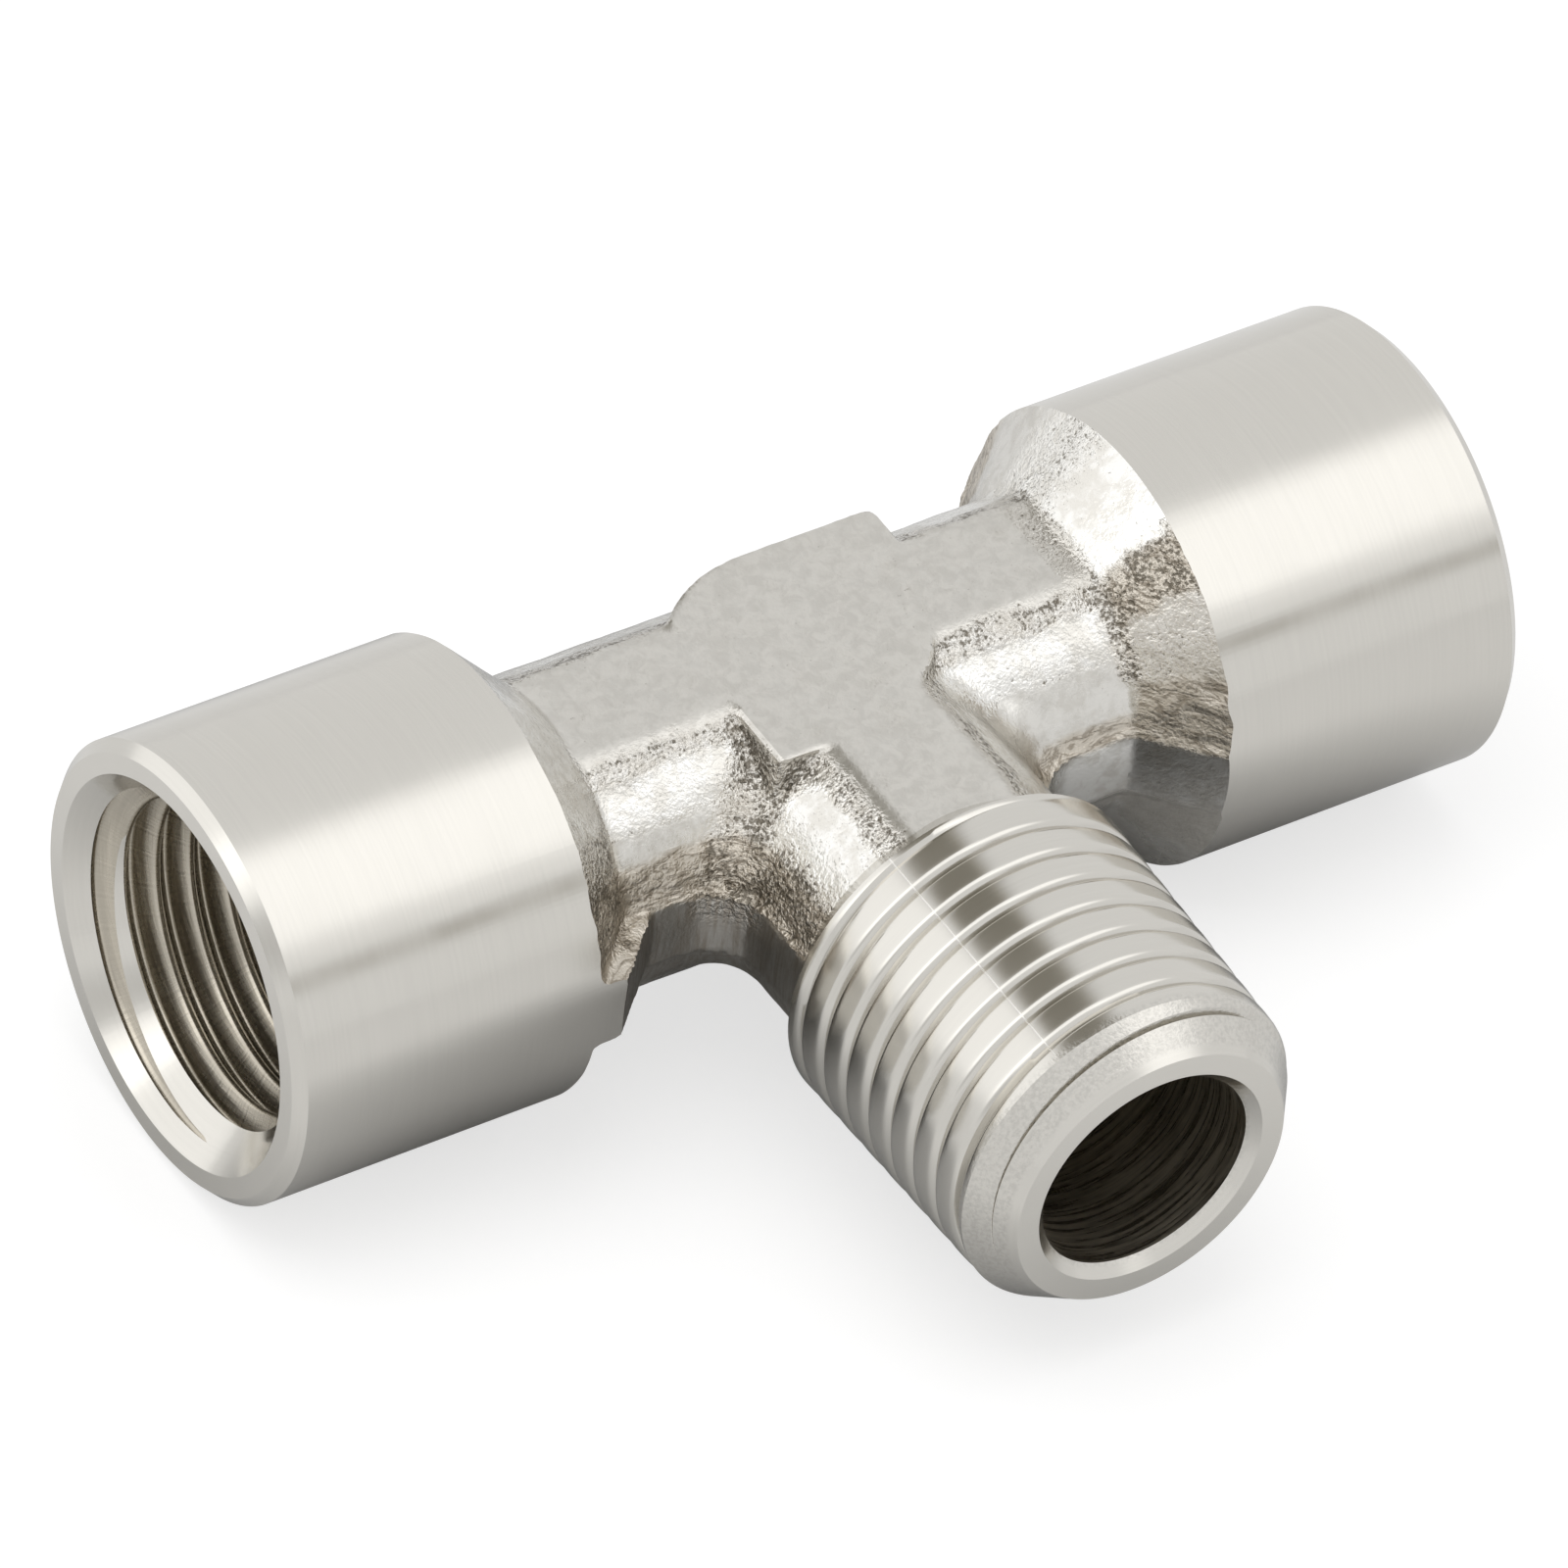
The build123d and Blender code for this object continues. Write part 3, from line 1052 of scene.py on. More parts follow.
@dataclass
class Forging:
    """Forged middle: necks, hub pad, shoulder cones and the trimmed band of flash.

    Lengths are in millimetres. A reach is the difference of distances at which a fillet
    starts. Borders and tops are heights of the skin's zones above the parting plane: band,
    ledge, facet, bright side and flat. Grain sizes are those of the skin's lumps and of the
    uneven borders of its zones.
    """

    socket_radius: float
    shoulder_x: float = 12.6
    neck_radius: float = 5.76
    branch_neck_radius: float = 5.8
    top_z: float = 5.66
    crown_swell: float = 0.25
    crown_angles: tuple[float, float] = (15.0, 38.0)
    rim_reach: float = 0.15
    pad_reach: float = 0.15
    crotch_reach: float = 1.9
    high_crotch_reach: float = 0.8
    root_reach: float = 0.15
    band_rim_reach: float = 0.2
    band_root_reach: float = 0.3
    pad_draft: float = 4.0
    band_half_height: float = 1.35
    band_wall_x: float = 5.78
    band_wall_y: float = 5.72
    band_border: tuple[float, float] = (1.15, 1.3)
    ledge_top: float = 2.95
    right_ledge_drop: float = 0.95
    facet_top: float = 3.8
    right_cone_rise: float = 1.5
    branch_facet_drop: float = 0.3
    flat_border: tuple[float, float] = (5.3, 5.5)
    cone_from: tuple[float, float] = (10.2, 10.5)
    left_flare_x: float = 9.1
    right_flare_x: float = 10.1
    raw_allowance: float = 0.5
    end_x: float = 13.25
    branch_end_y: float = -11.6
    cell: float = 0.2
    margin: float = 0.6
    lump_grain_sizes: tuple[float, ...] = (2.4, 1.0, 0.55)
    border_grain_sizes: tuple[float, ...] = (0.9, 0.4)
    grains: tuple[Grain, ...] = field(default_factory=lambda: tuple(Grain(s) for s in (3, 5, 8)))

    def pad_outline(self) -> Line:
        """Plan of the pad: sharp front-left, round front-right, small back-right, swept back.

        Returns:
            Its corners, with the arcs as points.
        """
        return [
            (-4.1, -5.15),
            (0.05, -5.15),
            *arc((0.6, -0.6), 3.6, -90.0, 0.0, 10),
            (5.25, 4.05 - 3.6),
            *arc((4.9, 3.75), 0.35, 0.0, 90.0, 4),
            (0.0, 4.1),
            *arc((0.0, -1.3), 5.4, 96.0, 139.5, 8),
            (-4.1, 1.1),
        ]

    def band_outline(self) -> Line:
        """Plan of the band: flares at the shoulders and rounded crotches beside the branch.

        Returns:
            Its corners, from the back left one round by the left.
        """
        raw = self.socket_radius + self.raw_allowance
        flare = raw - self.band_wall_y
        left = -self.left_flare_x
        right = self.right_flare_x
        wall_x, wall_y = self.band_wall_x, self.band_wall_y
        return [
            (left, wall_y),
            (left - flare, raw),
            (-self.end_x - 1.0, raw),
            (-self.end_x - 1.0, -raw),
            (left - flare, -raw),
            (left, -wall_y),
            (-8.1, -wall_y),
            (-7.2, -wall_y - 0.16),
            (-6.45, -wall_y - 0.6),
            (-5.95, -wall_y - 1.2),
            (-wall_x, -wall_y - 2.0),
            (-wall_x, self.branch_end_y - 1.0),
            (wall_x, self.branch_end_y - 1.0),
            (wall_x, -wall_y - 1.7),
            (wall_x + 0.25, -wall_y - 1.0),
            (wall_x + 0.9, -wall_y - 0.35),
            (wall_x + 1.8, -wall_y),
            (right, -wall_y),
            (right + flare, -raw),
            (self.end_x + 1.0, -raw),
            (self.end_x + 1.0, raw),
            (right + flare, raw),
            (right, wall_y),
        ]

    def zones(self, points: np.ndarray) -> dict[str, np.ndarray]:
        """Shares from 0 to 1 of the kinds of skin at points on the forging.

        The height above the parting plane is scaled on the cones to that of the necks, because
        the die marks run on up the cones at the same angle.

        Args:
            points: Points in millimetres.

        Returns:
            Shares named flat, bright, facet, ledge, valley, patch, streaked, band and under, the
            last being the strip under the band that is painted dark as shade.
        """
        x, y, z = np.moveaxis(points, -1, 0)
        cone_radius = np.abs(x) - self.shoulder_x + self.socket_radius
        cone_radius = np.maximum(self.neck_radius, cone_radius)
        height = np.abs(z) * self.neck_radius / cone_radius
        broad, fine = (g.at(points, s) for g, s in zip(self.grains, self.border_grain_sizes))
        height = height + 0.12 * broad + 0.07 * fine
        right = rise(x, -1.0, 1.0)
        upper = rise(z, 0.0, 1.0)
        front = right * rise(-y, 0.0, 1.0)
        cone = rise(np.abs(x), *self.cone_from)
        on_branch = rise(-y, 6.0, 7.0) * (1.0 - rise(np.abs(x), 6.0, 6.6))
        ledge_top = self.ledge_top - self.right_ledge_drop * right * (1.0 - cone)
        facet_top = self.facet_top + self.right_cone_rise * right * cone
        facet_top = facet_top - self.branch_facet_drop * on_branch
        above_ledge = self.above(height, ledge_top, 0.15)
        above_facet = self.above(height, facet_top, 0.12)
        flat = rise(height, *self.flat_border)
        back = cone * right * rise(y, -0.5, 0.5)
        bright = above_facet * (1.0 - flat * (1.0 - cone)) * (1.0 - back)
        bright = bright + back * (1.0 - rise(y, 0.0, 5.0))
        facet = (1.0 - above_facet) * above_ledge
        above_band = rise(np.abs(z), *self.band_border)
        patch = front * cone * between(height, 4.55, 5.3, 0.12)
        creases = self.creases(x, y, height, right, cone, on_branch)
        return {
            "flat": flat,
            "bright": bright,
            "facet": facet,
            "ledge": above_band * (1.0 - above_ledge) * (0.15 + 0.85 * upper),
            "valley": upper * np.maximum(creases, 0.8 * patch),
            "patch": upper * patch,
            "streaked": upper * front * cone * facet,
            "band": 1.0 - above_band,
            # Painted shade: the strip of the lower half just under the band, coloured dark like the
            # walls
            "under": rise(-z, 0.9, 1.3) * (1.0 - rise(height, 2.6, 3.4)),
        }

    @staticmethod
    def above(height: np.ndarray, border: np.ndarray, soft: float) -> np.ndarray:
        """1 above a border and 0 below it, with a smooth step of a soft width on either side."""
        return rise(height, border - soft, border + soft)

    def creases(
        self,
        x: np.ndarray,
        y: np.ndarray,
        height: np.ndarray,
        right: np.ndarray,
        cone: np.ndarray,
        on_branch: np.ndarray,
    ) -> np.ndarray:
        """Shares from 0 to 1 of the rough and pitted skin where forms meet.

        It lies in the groove where the necks cross at the left, round the foot of the pad, low
        on the branch's left flank, where the right cone meets its neck, on the left cone,
        along the flat's edge, above the right cone's root and on a rail along the branch.

        Args:
            x: X of the points.
            y: Y of the points.
            height: Height above the parting plane, scaled on the cones.
            right: Share of the right half.
            cone: Share of the cones.
            on_branch: Share of the branch's neck.

        Returns:
            The greatest of the shares at each point.
        """
        across = np.abs(x - y) * math.sqrt(0.5)
        crossing = (1.0 - rise(across, 0.5, 1.5)) * rise(-x, 3.6, 4.2)
        crossing = crossing * (1.0 - rise(height, 4.2, 5.3))
        skirt = 1.0 - rise(np.abs(outline_distance(x, y, self.pad_outline()) - 0.1), 0.25, 0.6)
        skirt = skirt * (1.0 - rise(height, 5.2, 5.5))
        skirt = skirt * (1.0 - rise(x, -2.0, -1.0)) * rise(-y, 1.5, 2.5)
        flank = on_branch * between(height, 1.5, 3.3, 0.3) * (1.0 - right)
        crease = right * rise(-y, 0.0, 1.0) * between(np.abs(x), 9.9, 10.5, 0.12)
        crease = crease * between(height, 3.1, 5.35, 0.2)
        far_side = cone * (1.0 - right) * between(height, 1.3, 4.1, 0.15)
        seam = between(height, 4.95, 5.52, 0.12) * (1.0 - cone)
        root = right * between(np.abs(x), 9.2, 10.3, 0.15) * rise(height, 5.2, 5.4)
        rail = right * on_branch * between(height, 5.05, 5.3, 0.05)
        return np.maximum.reduce(
            [crossing, skirt, flank, crease, 0.8 * far_side, 0.55 * seam, 0.4 * root, 0.6 * rail]
        )

    def fullness(self, turn: np.ndarray) -> np.ndarray:
        """Swell of a neck near its crown, by the angle from the top, in millimetres."""
        return self.crown_swell * (1.0 - rise(np.degrees(np.abs(turn)), *self.crown_angles))

    def plain_distance(self, x: np.ndarray, y: np.ndarray, z: np.ndarray) -> np.ndarray:
        """Distance to the forging without its roughness, negative inside.

        Necks are cylinders, full at the crown, that meet each other and the cones by smooth
        blends. The pad is its outline with draft, turned over about the branch below the parting
        plane. Necks and pad are cut flat at one height. The band is its outline between two
        heights.

        Args:
            x: X of the points.
            y: Y of the points.
            z: Z of the points.

        Returns:
            The distance in millimetres.
        """
        height = np.abs(z)
        radius = np.hypot(y, z)
        run = radius - self.neck_radius - self.fullness(np.arctan2(y, height))
        branch = np.hypot(x, z) - self.branch_neck_radius - self.fullness(np.arctan2(x, height))
        branch = np.maximum(branch, y)
        low = 1.0 - rise(height, 2.6, 4.4)
        crotch = self.high_crotch_reach + (self.crotch_reach - self.high_crotch_reach) * low
        draft = math.tan(math.radians(self.pad_draft))
        turned = np.where(z < 0.0, -x, x)
        side = outline_distance(turned, y, self.pad_outline()) - (self.top_z - height) * draft
        middle = smooth_least(smooth_least(run, branch, crotch), side, self.pad_reach)
        middle = smooth_most(middle, height - self.top_z, self.rim_reach)
        cone_radius = np.abs(x) - self.shoulder_x + self.socket_radius
        boss = radius - self.socket_radius - self.raw_allowance
        cone = np.maximum((radius - cone_radius) / math.sqrt(2.0), boss)
        body = smooth_least(middle, cone, self.root_reach)
        wall = outline_distance(x, y, self.band_outline())
        band = smooth_most(wall, height - self.band_half_height, self.band_rim_reach)
        body = smooth_least(body, band, self.band_root_reach)
        return np.maximum(body, np.maximum(np.abs(x) - self.end_x, self.branch_end_y - y))

    def roughness(self, points: np.ndarray) -> np.ndarray:
        """Height of the forged skin's lumps at points, in millimetres.

        The middle grain is folded into ridges where it passes zero.

        Args:
            points: Points in millimetres.

        Returns:
            The height that the skin is raised by.
        """
        zones = self.zones(points)
        grains = zip(self.grains, self.lump_grain_sizes)
        broad, middle, fine = (grain.at(points, size) for grain, size in grains)
        ridged = 1.0 - 2.0 * np.abs(middle)
        plain = (1.0 - zones["flat"]) * (1.0 - zones["band"])
        coarse = np.maximum(zones["ledge"], zones["valley"]) * (1.0 - zones["band"])
        return (
            (0.01 + 0.03 * plain) * broad
            + 0.015 * plain * middle
            + 0.05 * coarse * ridged
            + (0.008 * plain + 0.04 * coarse) * fine
        )

    def distance(self, points: np.ndarray) -> np.ndarray:
        """Distance to the rough forging. The roughness is worked out only near the surface.

        Args:
            points: Points in millimetres.

        Returns:
            The distance in millimetres, negative inside.
        """
        distance = self.plain_distance(*np.moveaxis(points, -1, 0))
        near = np.abs(distance) < 1.0
        distance[near] -= self.roughness(points[near])
        return distance

    def build(self, material: bpy.types.Material) -> bpy.types.Object:
        """Samples the distance on a grid, nets its surface and moves the points onto it.

        Args:
            material: Finish.

        Returns:
            The closed forging.
        """
        reach = self.socket_radius + self.raw_allowance + self.margin
        low = np.array([-self.end_x - self.margin, self.branch_end_y - self.margin, -reach])
        high = np.array([self.end_x + self.margin, reach, reach])
        axes = [np.arange(a, b, self.cell) for a, b in zip(low, high)]
        grid = np.stack(np.meshgrid(*axes, indexing="ij"), axis=-1)
        vertices, faces = surface_net(self.distance(grid), low, self.cell)
        vertices = self.settle(vertices)
        return make_solid("forging", vertices, faces, material)

    def settle(self, vertices: np.ndarray) -> np.ndarray:
        """Moves points along the slope of the distance until it is zero, in two steps.

        The slope is the change of the distance over a tiny step either way along each axis.

        Args:
            vertices: Points near the surface, in millimetres.

        Returns:
            The points on the surface.
        """
        tiny = 0.02
        farthest = 0.4 * self.cell
        for _ in range(2):
            changes = [
                self.distance(vertices + shift) - self.distance(vertices - shift)
                for shift in tiny * np.eye(3)
            ]
            slope = np.stack(changes, axis=-1) / (2.0 * tiny)
            size = np.maximum(np.sum(slope**2, axis=-1, keepdims=True), 0.25)
            move = self.distance(vertices)[:, None] * slope / size
            vertices = vertices - np.clip(move, -farthest, farthest)
        return vertices


@dataclass
class Socket:
    """Turned socket at one end of the run, tapped for a parallel pipe thread.

    Side is -1 at the left and 1 at the right. Lengths are in millimetres. The cutters reach
    past what they leave: the lathe's by past_outside and past_face, the countersink by
    past_thread and past_mouth, and the tap by tap_past_face. Run_out is where the thread
    begins and where it is full, from the bottom.
    """

    side: int
    face_x: float
    radius: float
    thread: PipeThread
    crest_x: float
    mouth_chamfer: float = 0.4
    raw_start_x: float = 12.95
    raw_length: float = 0.6
    raw_radius: float = 9.1
    turned_from_x: float = 9.05
    past_outside: float = 1.0
    past_face: float = 1.2
    countersink_radius: float = 7.1
    countersink_depth: float = 1.6
    past_thread: float = 0.8
    past_mouth: float = 0.4
    tapped_depth: float = 12.0
    tap_past_face: float = 0.5
    run_out: tuple[float, float] = (0.3, 2.2)
    drill_point_angle: float = 118.0
    major_radius: float = 6.5785

    def raw(self, material: bpy.types.Material) -> bpy.types.Object:
        """Boss with metal left for turning."""
        ends = (self.side * self.raw_start_x, self.side * (self.face_x + self.raw_length))
        return cylinder("raw_socket", ends, self.raw_radius, Axis.RUN, material)

    def turning(self, material: bpy.types.Material) -> bpy.types.Object:
        """All that the lathe takes off: outside, mouth chamfer and face.

        Args:
            material: Finish of what it leaves.

        Returns:
            The closed cutter.
        """
        outside = self.raw_radius + self.past_outside
        end = self.face_x + self.past_face
        profile = [
            (self.face_x, 0.0),
            (self.face_x, self.radius - self.mouth_chamfer),
            (self.face_x - self.mouth_chamfer, self.radius),
            (self.turned_from_x, self.radius),
            (self.turned_from_x, outside),
            (end, outside),
            (end, 0.0),
        ]
        profile = [(self.side * place, radius) for place, radius in profile]
        return lathe("turning", profile, Axis.RUN, material)

    def countersink(self, material: bpy.types.Material) -> bpy.types.Object:
        """Cone cut into the mouth, before the thread.

        Its slope is carried on past both ends, into the thread and out of the mouth.

        Args:
            material: Finish of what it leaves.

        Returns:
            The closed cutter.
        """
        minor = self.major_radius - self.thread.depth
        slope = (self.countersink_radius - minor) / self.countersink_depth
        inner = self.side * (self.face_x - self.countersink_depth - self.past_thread)
        outer = self.side * (self.face_x + self.past_mouth)
        profile = [
            (inner, 0.0),
            (inner, minor - self.past_thread * slope),
            (outer, self.countersink_radius + self.past_mouth * slope),
            (outer, 0.0),
        ]
        return lathe("countersink", profile, Axis.RUN, material)

    def tap(self, material: bpy.types.Material) -> bpy.types.Object:
        """Threaded rod that cuts the hole, with the drill's cone at its end.

        Near the bottom the thread runs out to the drilled radius.

        Args:
            material: Finish of what it leaves.

        Returns:
            The closed cutter.
        """
        minor = self.major_radius - self.thread.depth
        bottom = self.face_x - self.tapped_depth
        point = bottom - minor / math.tan(math.radians(self.drill_point_angle / 2.0))
        outer = self.face_x + self.tap_past_face
        ends = tuple(sorted((self.side * bottom, self.side * outer)))
        tips = tuple(sorted((self.side * point, self.side * outer)))
        run_out = [bottom + distance for distance in self.run_out]

        def full(place: np.ndarray) -> np.ndarray:
            """Share of the thread's full depth at places along the run."""
            return rise(self.side * place, *run_out)

        def crest(place: np.ndarray) -> np.ndarray:
            """Crest radius at places along the run."""
            return minor + self.thread.depth * full(place)

        return self.thread.rod(
            "tap", Axis.RUN, ends, self.crest_x, crest, full, tips, material
        )


@dataclass
class Spigot:
    """Branch end: turned blank with a taper pipe thread, 1 in 16 on diameter.

    Lengths are in millimetres. Gauge_length, lead, full_until, plain_from and deep_until are
    distances from the end. Clear is how far the blank stands off the crests.
    """

    end_y: float
    thread: PipeThread
    length: float = 12.0
    gauge_radius: float = 6.5785
    gauge_length: float = 6.0
    taper: float = 1.0 / 32.0
    ring_radius: float = 5.25
    lead: float = 1.6
    crest_y: float = -15.8
    full_until: float = 11.3
    plain_from: float = 12.0
    deep_until: float = 2.4
    deepening: float = 1.0
    clear: float = 0.06
    rod_past_ends: tuple[float, float] = (0.4, 1.6)

    def crest(self, place: np.ndarray | float) -> np.ndarray | float:
        """Crest radius at a place along the branch."""
        return self.gauge_radius + (place - self.end_y - self.gauge_length) * self.taper

    def blank(self, material: bpy.types.Material) -> bpy.types.Object:
        """Turned outline: 45 degree back chamfer, clear of the crests, and lead-in bevel.

        The bevel's slope is carried on past its foot until it is clear of the crests.

        Args:
            material: Finish.

        Returns:
            The closed solid.
        """
        base_y = self.end_y + self.length
        base = self.crest(base_y) + self.clear
        slope = (self.crest(self.end_y + self.lead) - self.ring_radius) / self.lead
        foot = self.end_y + self.lead + self.clear / slope
        profile = [
            (base_y + base - self.clear, 0.0),
            (base_y - self.clear, base),
            (foot, self.crest(foot) + self.clear),
            (self.end_y, self.ring_radius),
            (self.end_y, 0.0),
        ]
        return lathe("blank", profile, Axis.BRANCH, material)

    def build(self, material: bpy.types.Material) -> bpy.types.Object:
        """Threaded rod trimmed to the turned outline.

        The thread fades out at the shoulder and is deeper at its start, where the bevel cuts it.

        Args:
            material: Finish.

        Returns:
            The closed solid.
        """
        before, after = self.rod_past_ends
        span = (self.end_y - before, self.end_y + self.length + after)

        def share(place: np.ndarray) -> np.ndarray:
            """Share of the thread's depth along the branch.

            Args:
                place: Places along it.

            Returns:
                The share at each place, above 1 at the start.
            """
            start = 1.0 - rise(place - self.end_y, self.lead, self.deep_until)
            fade = 1.0 - rise(place - self.end_y, self.full_until, self.plain_from)
            return fade * (1.0 + self.deepening * start)

        rod = self.thread.rod(
            "spigot", Axis.BRANCH, span, self.crest_y, self.crest, share, span, material
        )
        return combine(rod, self.blank(material), Operation.KEEP_COMMON)


@dataclass
class Waterways:
    """Bores that join the sockets and the branch, cut from past the branch's end."""

    branch_end_y: float
    run_radius: float = 4.25
    run_half_length: float = 12.4
    run_segments: int = 128
    branch_radius: float = 4.0
    mouth_radius: float = 4.4
    branch_segments: int = 160
    past_end: float = 0.5

    def run(self, material: bpy.types.Material) -> bpy.types.Object:
        """Bore between the tapped holes."""
        ends = (-self.run_half_length, self.run_half_length)
        return cylinder("run_bore", ends, self.run_radius, Axis.RUN, material, self.run_segments)

    def branch(self, material: bpy.types.Material) -> bpy.types.Object:
        """Bore from the branch's end to the centre of the run.

        Args:
            material: Finish of what it leaves.

        Returns:
            The closed cutter.
        """
        ends = (0.0, self.branch_end_y - self.past_end)
        return cylinder(
            "branch_bore", ends, self.branch_radius, Axis.BRANCH, material, self.branch_segments
        )

    def mouth(self, material: bpy.types.Material) -> bpy.types.Object:
        """Cone that cuts the 45 degree chamfer at the branch's end.

        Args:
            material: Finish of what it leaves.

        Returns:
            The closed cutter.
        """
        outer = self.branch_end_y - self.past_end
        profile = [
            (self.branch_end_y + self.mouth_radius, 0.0),
            (outer, self.mouth_radius + self.past_end),
            (outer, 0.0),
        ]
        return lathe("branch_mouth", profile, Axis.BRANCH, material, self.branch_segments)


@dataclass
class Tee:
    """The whole fitting."""

    finishes: Finishes
    low: Vector
    high: Vector
    thread: PipeThread = field(default_factory=PipeThread)
    left_crest_x: float = -19.1
    right_crest_x: float = 19.3

    def build(self) -> bpy.types.Object:
        """Forges, turns, threads and bores the fitting, and shades it.

        Returns:
            The finished fitting.
        """
        radius = self.high.z / MM
        face_x = self.high.x / MM
        end_y = self.low.y / MM
        look = self.finishes
        tee = Forging(socket_radius=radius).build(look.forged)
        sockets = [
            Socket(-1, face_x, radius, self.thread, self.left_crest_x),
            Socket(1, face_x, radius, self.thread, self.right_crest_x),
        ]
        for socket in sockets:
            tee = combine(tee, socket.raw(look.turned), Operation.JOIN)
        for socket in sockets:
            tee = combine(tee, socket.turning(look.turned), Operation.CUT)
        tee = combine(tee, Spigot(end_y, WornThread()).build(look.branch), Operation.JOIN)
        for socket in sockets:
            tee = combine(tee, socket.tap(look.tapped), Operation.CUT)
            tee = combine(tee, socket.countersink(look.turned), Operation.CUT)
        ways = Waterways(end_y)
        tee = combine(tee, ways.run(look.drilled), Operation.CUT)
        tee = combine(tee, ways.branch(look.drilled), Operation.CUT)
        tee = combine(tee, ways.mouth(look.branch), Operation.CUT)
        tee.name = "tee_finish"
        self.dress(tee)
        return tee

    def dress(self, tee: bpy.types.Object) -> None:
        """Shades the mesh smooth with sharp edges, and writes the skin's values at its points.

        Args:
            tee: The fitting.
        """
        mesh = tee.data
        mesh.name = "tee_finish"
        mesh.polygons.foreach_set("use_smooth", np.ones(len(mesh.polygons), bool))
        mesh.set_sharp_from_angle(angle=math.radians(SHARP_ANGLE))
        self.part_finishes(mesh)
        points = read(mesh.vertices, "co", np.float32, 3).reshape(-1, 3).astype(float) / MM
        for name, value in self.skin(points).items():
            layer = mesh.attributes.new(name, "FLOAT", "POINT")
            layer.data.foreach_set("value", np.clip(value, 0.0, 1.0).astype(np.float32))

    def skin(self, points: np.ndarray) -> dict[str, np.ndarray]:
        """Values that the forged finish reads: shares of the kinds of skin, weighed and added.

        Pits also gather along the border of the bright sides, where their share is near one
        half. The band's front right is painted bright, as painted light. The rest of the band and
        the strip under it are trimmed and painted dark as shade.

        Args:
            points: Points in millimetres.

        Returns:
            The values, from 0 to about 1, by name.
        """
        zones = Forging(socket_radius=self.high.z / MM).zones(points)
        border = 4.0 * zones["bright"] * (1.0 - zones["bright"])
        # Painted light: share of the band's front right, which is coloured bright rather than dark
        lit_band_side = rise(points[:, 0], -1.0, 1.0) * (1.0 - rise(points[:, 1], -1.0, 1.0))
        return {
            "pitted": 0.12
            + 0.14 * zones["bright"]
            + 0.45 * border
            + 0.28 * zones["ledge"]
            + 0.3 * zones["streaked"]
            + zones["valley"],
            # Gloss and painted highlight: this share lowers the roughness and also lifts the colour
            # towards the painted highlight
            "gloss_and_highlight": 0.1
            + 0.9 * zones["bright"]
            + 0.35 * zones["facet"]
            + 0.3 * zones["valley"]
            # Painted light: the band's front right is coloured as bright as the bright sides
            + 0.9 * zones["band"] * lit_band_side,
            "scale": 0.85 * zones["ledge"]
            + 0.35 * zones["valley"]
            + 0.4 * zones["patch"]
            + 0.3 * zones["streaked"],
            # Painted shade: the band and the strip under it take the dark wall colour, except at
            # the band's front right
            "trimmed_and_shade": np.maximum(zones["band"], 0.9 * zones["under"]) * (1.0 - lit_band_side),
        }

    @staticmethod
    def part_finishes(mesh: bpy.types.Mesh) -> None:
        """Marks the edges sharp where two finishes meet, so that no shade runs across them.

        Args:
            mesh: The fitting's mesh.
        """
        edges = read(mesh.loops, "edge_index", np.int32)
        kinds = read(mesh.polygons, "material_index", np.int32)
        kind_of_loop = np.repeat(kinds, read(mesh.polygons, "loop_total", np.int32))
        lowest = np.full(len(mesh.edges), len(mesh.materials))
        highest = np.full(len(mesh.edges), -1)
        np.minimum.at(lowest, edges, kind_of_loop)
        np.maximum.at(highest, edges, kind_of_loop)
        sharp = read(mesh.edges, "use_edge_sharp", bool)
        mesh.edges.foreach_set("use_edge_sharp", sharp | (lowest < highest))


# Room


@dataclass(frozen=True)
class Glow:
    """Soft round patch of the surroundings, brighter or darker than the rest.

    Angles are in degrees. Change is full within the inner angle from its middle, and fades
    out at the outer one.
    """

    azimuth: float
    elevation: float
    inner: float
    outer: float
    change: float

    def direction(self) -> Vector:
        """Direction of its middle. Azimuth is from +X towards +Y.

        Returns:
            The direction, of length 1.
        """
        turn, lift = math.radians(self.azimuth), math.radians(self.elevation)
        return Vector(
            (math.cos(lift) * math.cos(turn), math.cos(lift) * math.sin(turn), math.sin(lift))
        )


@dataclass(frozen=True)
class Panel:
    """Straight-sided panel, placed by the lean and dip of the metal that mirrors it.

    Lean is the angle from the top towards +X, about the branch, and dip the angle from the
    top towards -Y, about the run, both in degrees and as lowest and highest. All faces of one
    lean mirror directions in one plane, so each side of the panel is such a plane.
    """

    lean: tuple[float, float]
    dip: tuple[float, float]
    lean_soft: float
    dip_soft: float
    change: float
    mirror_gain: float = 1.7
    towards_viewer: tuple[float, float, float] = (-0.4345, -0.5808, 0.6884)

    def sides(self) -> list[tuple[Vector, float, float]]:
        """The panel's four sides.

        The metal turns a mirrored direction faster than itself, by the mirror gain.

        Returns:
            For each side the vector across it, the dot product where it lies, and its softness.
        """
        found = []
        for sign, lean, dip in zip((1.0, -1.0), self.lean, self.dip):
            turn = math.radians(lean)
            found.append((Vector((math.cos(turn), 0.0, -math.sin(turn))) * sign, self.lean_soft))
            turn = math.radians(dip)
            found.append((Vector((0.0, -math.cos(turn), -math.sin(turn))) * sign, self.dip_soft))
        viewer = Vector(self.towards_viewer)
        gain = self.mirror_gain
        return [(across, -viewer.dot(across), gain * math.radians(soft)) for across, soft in found]


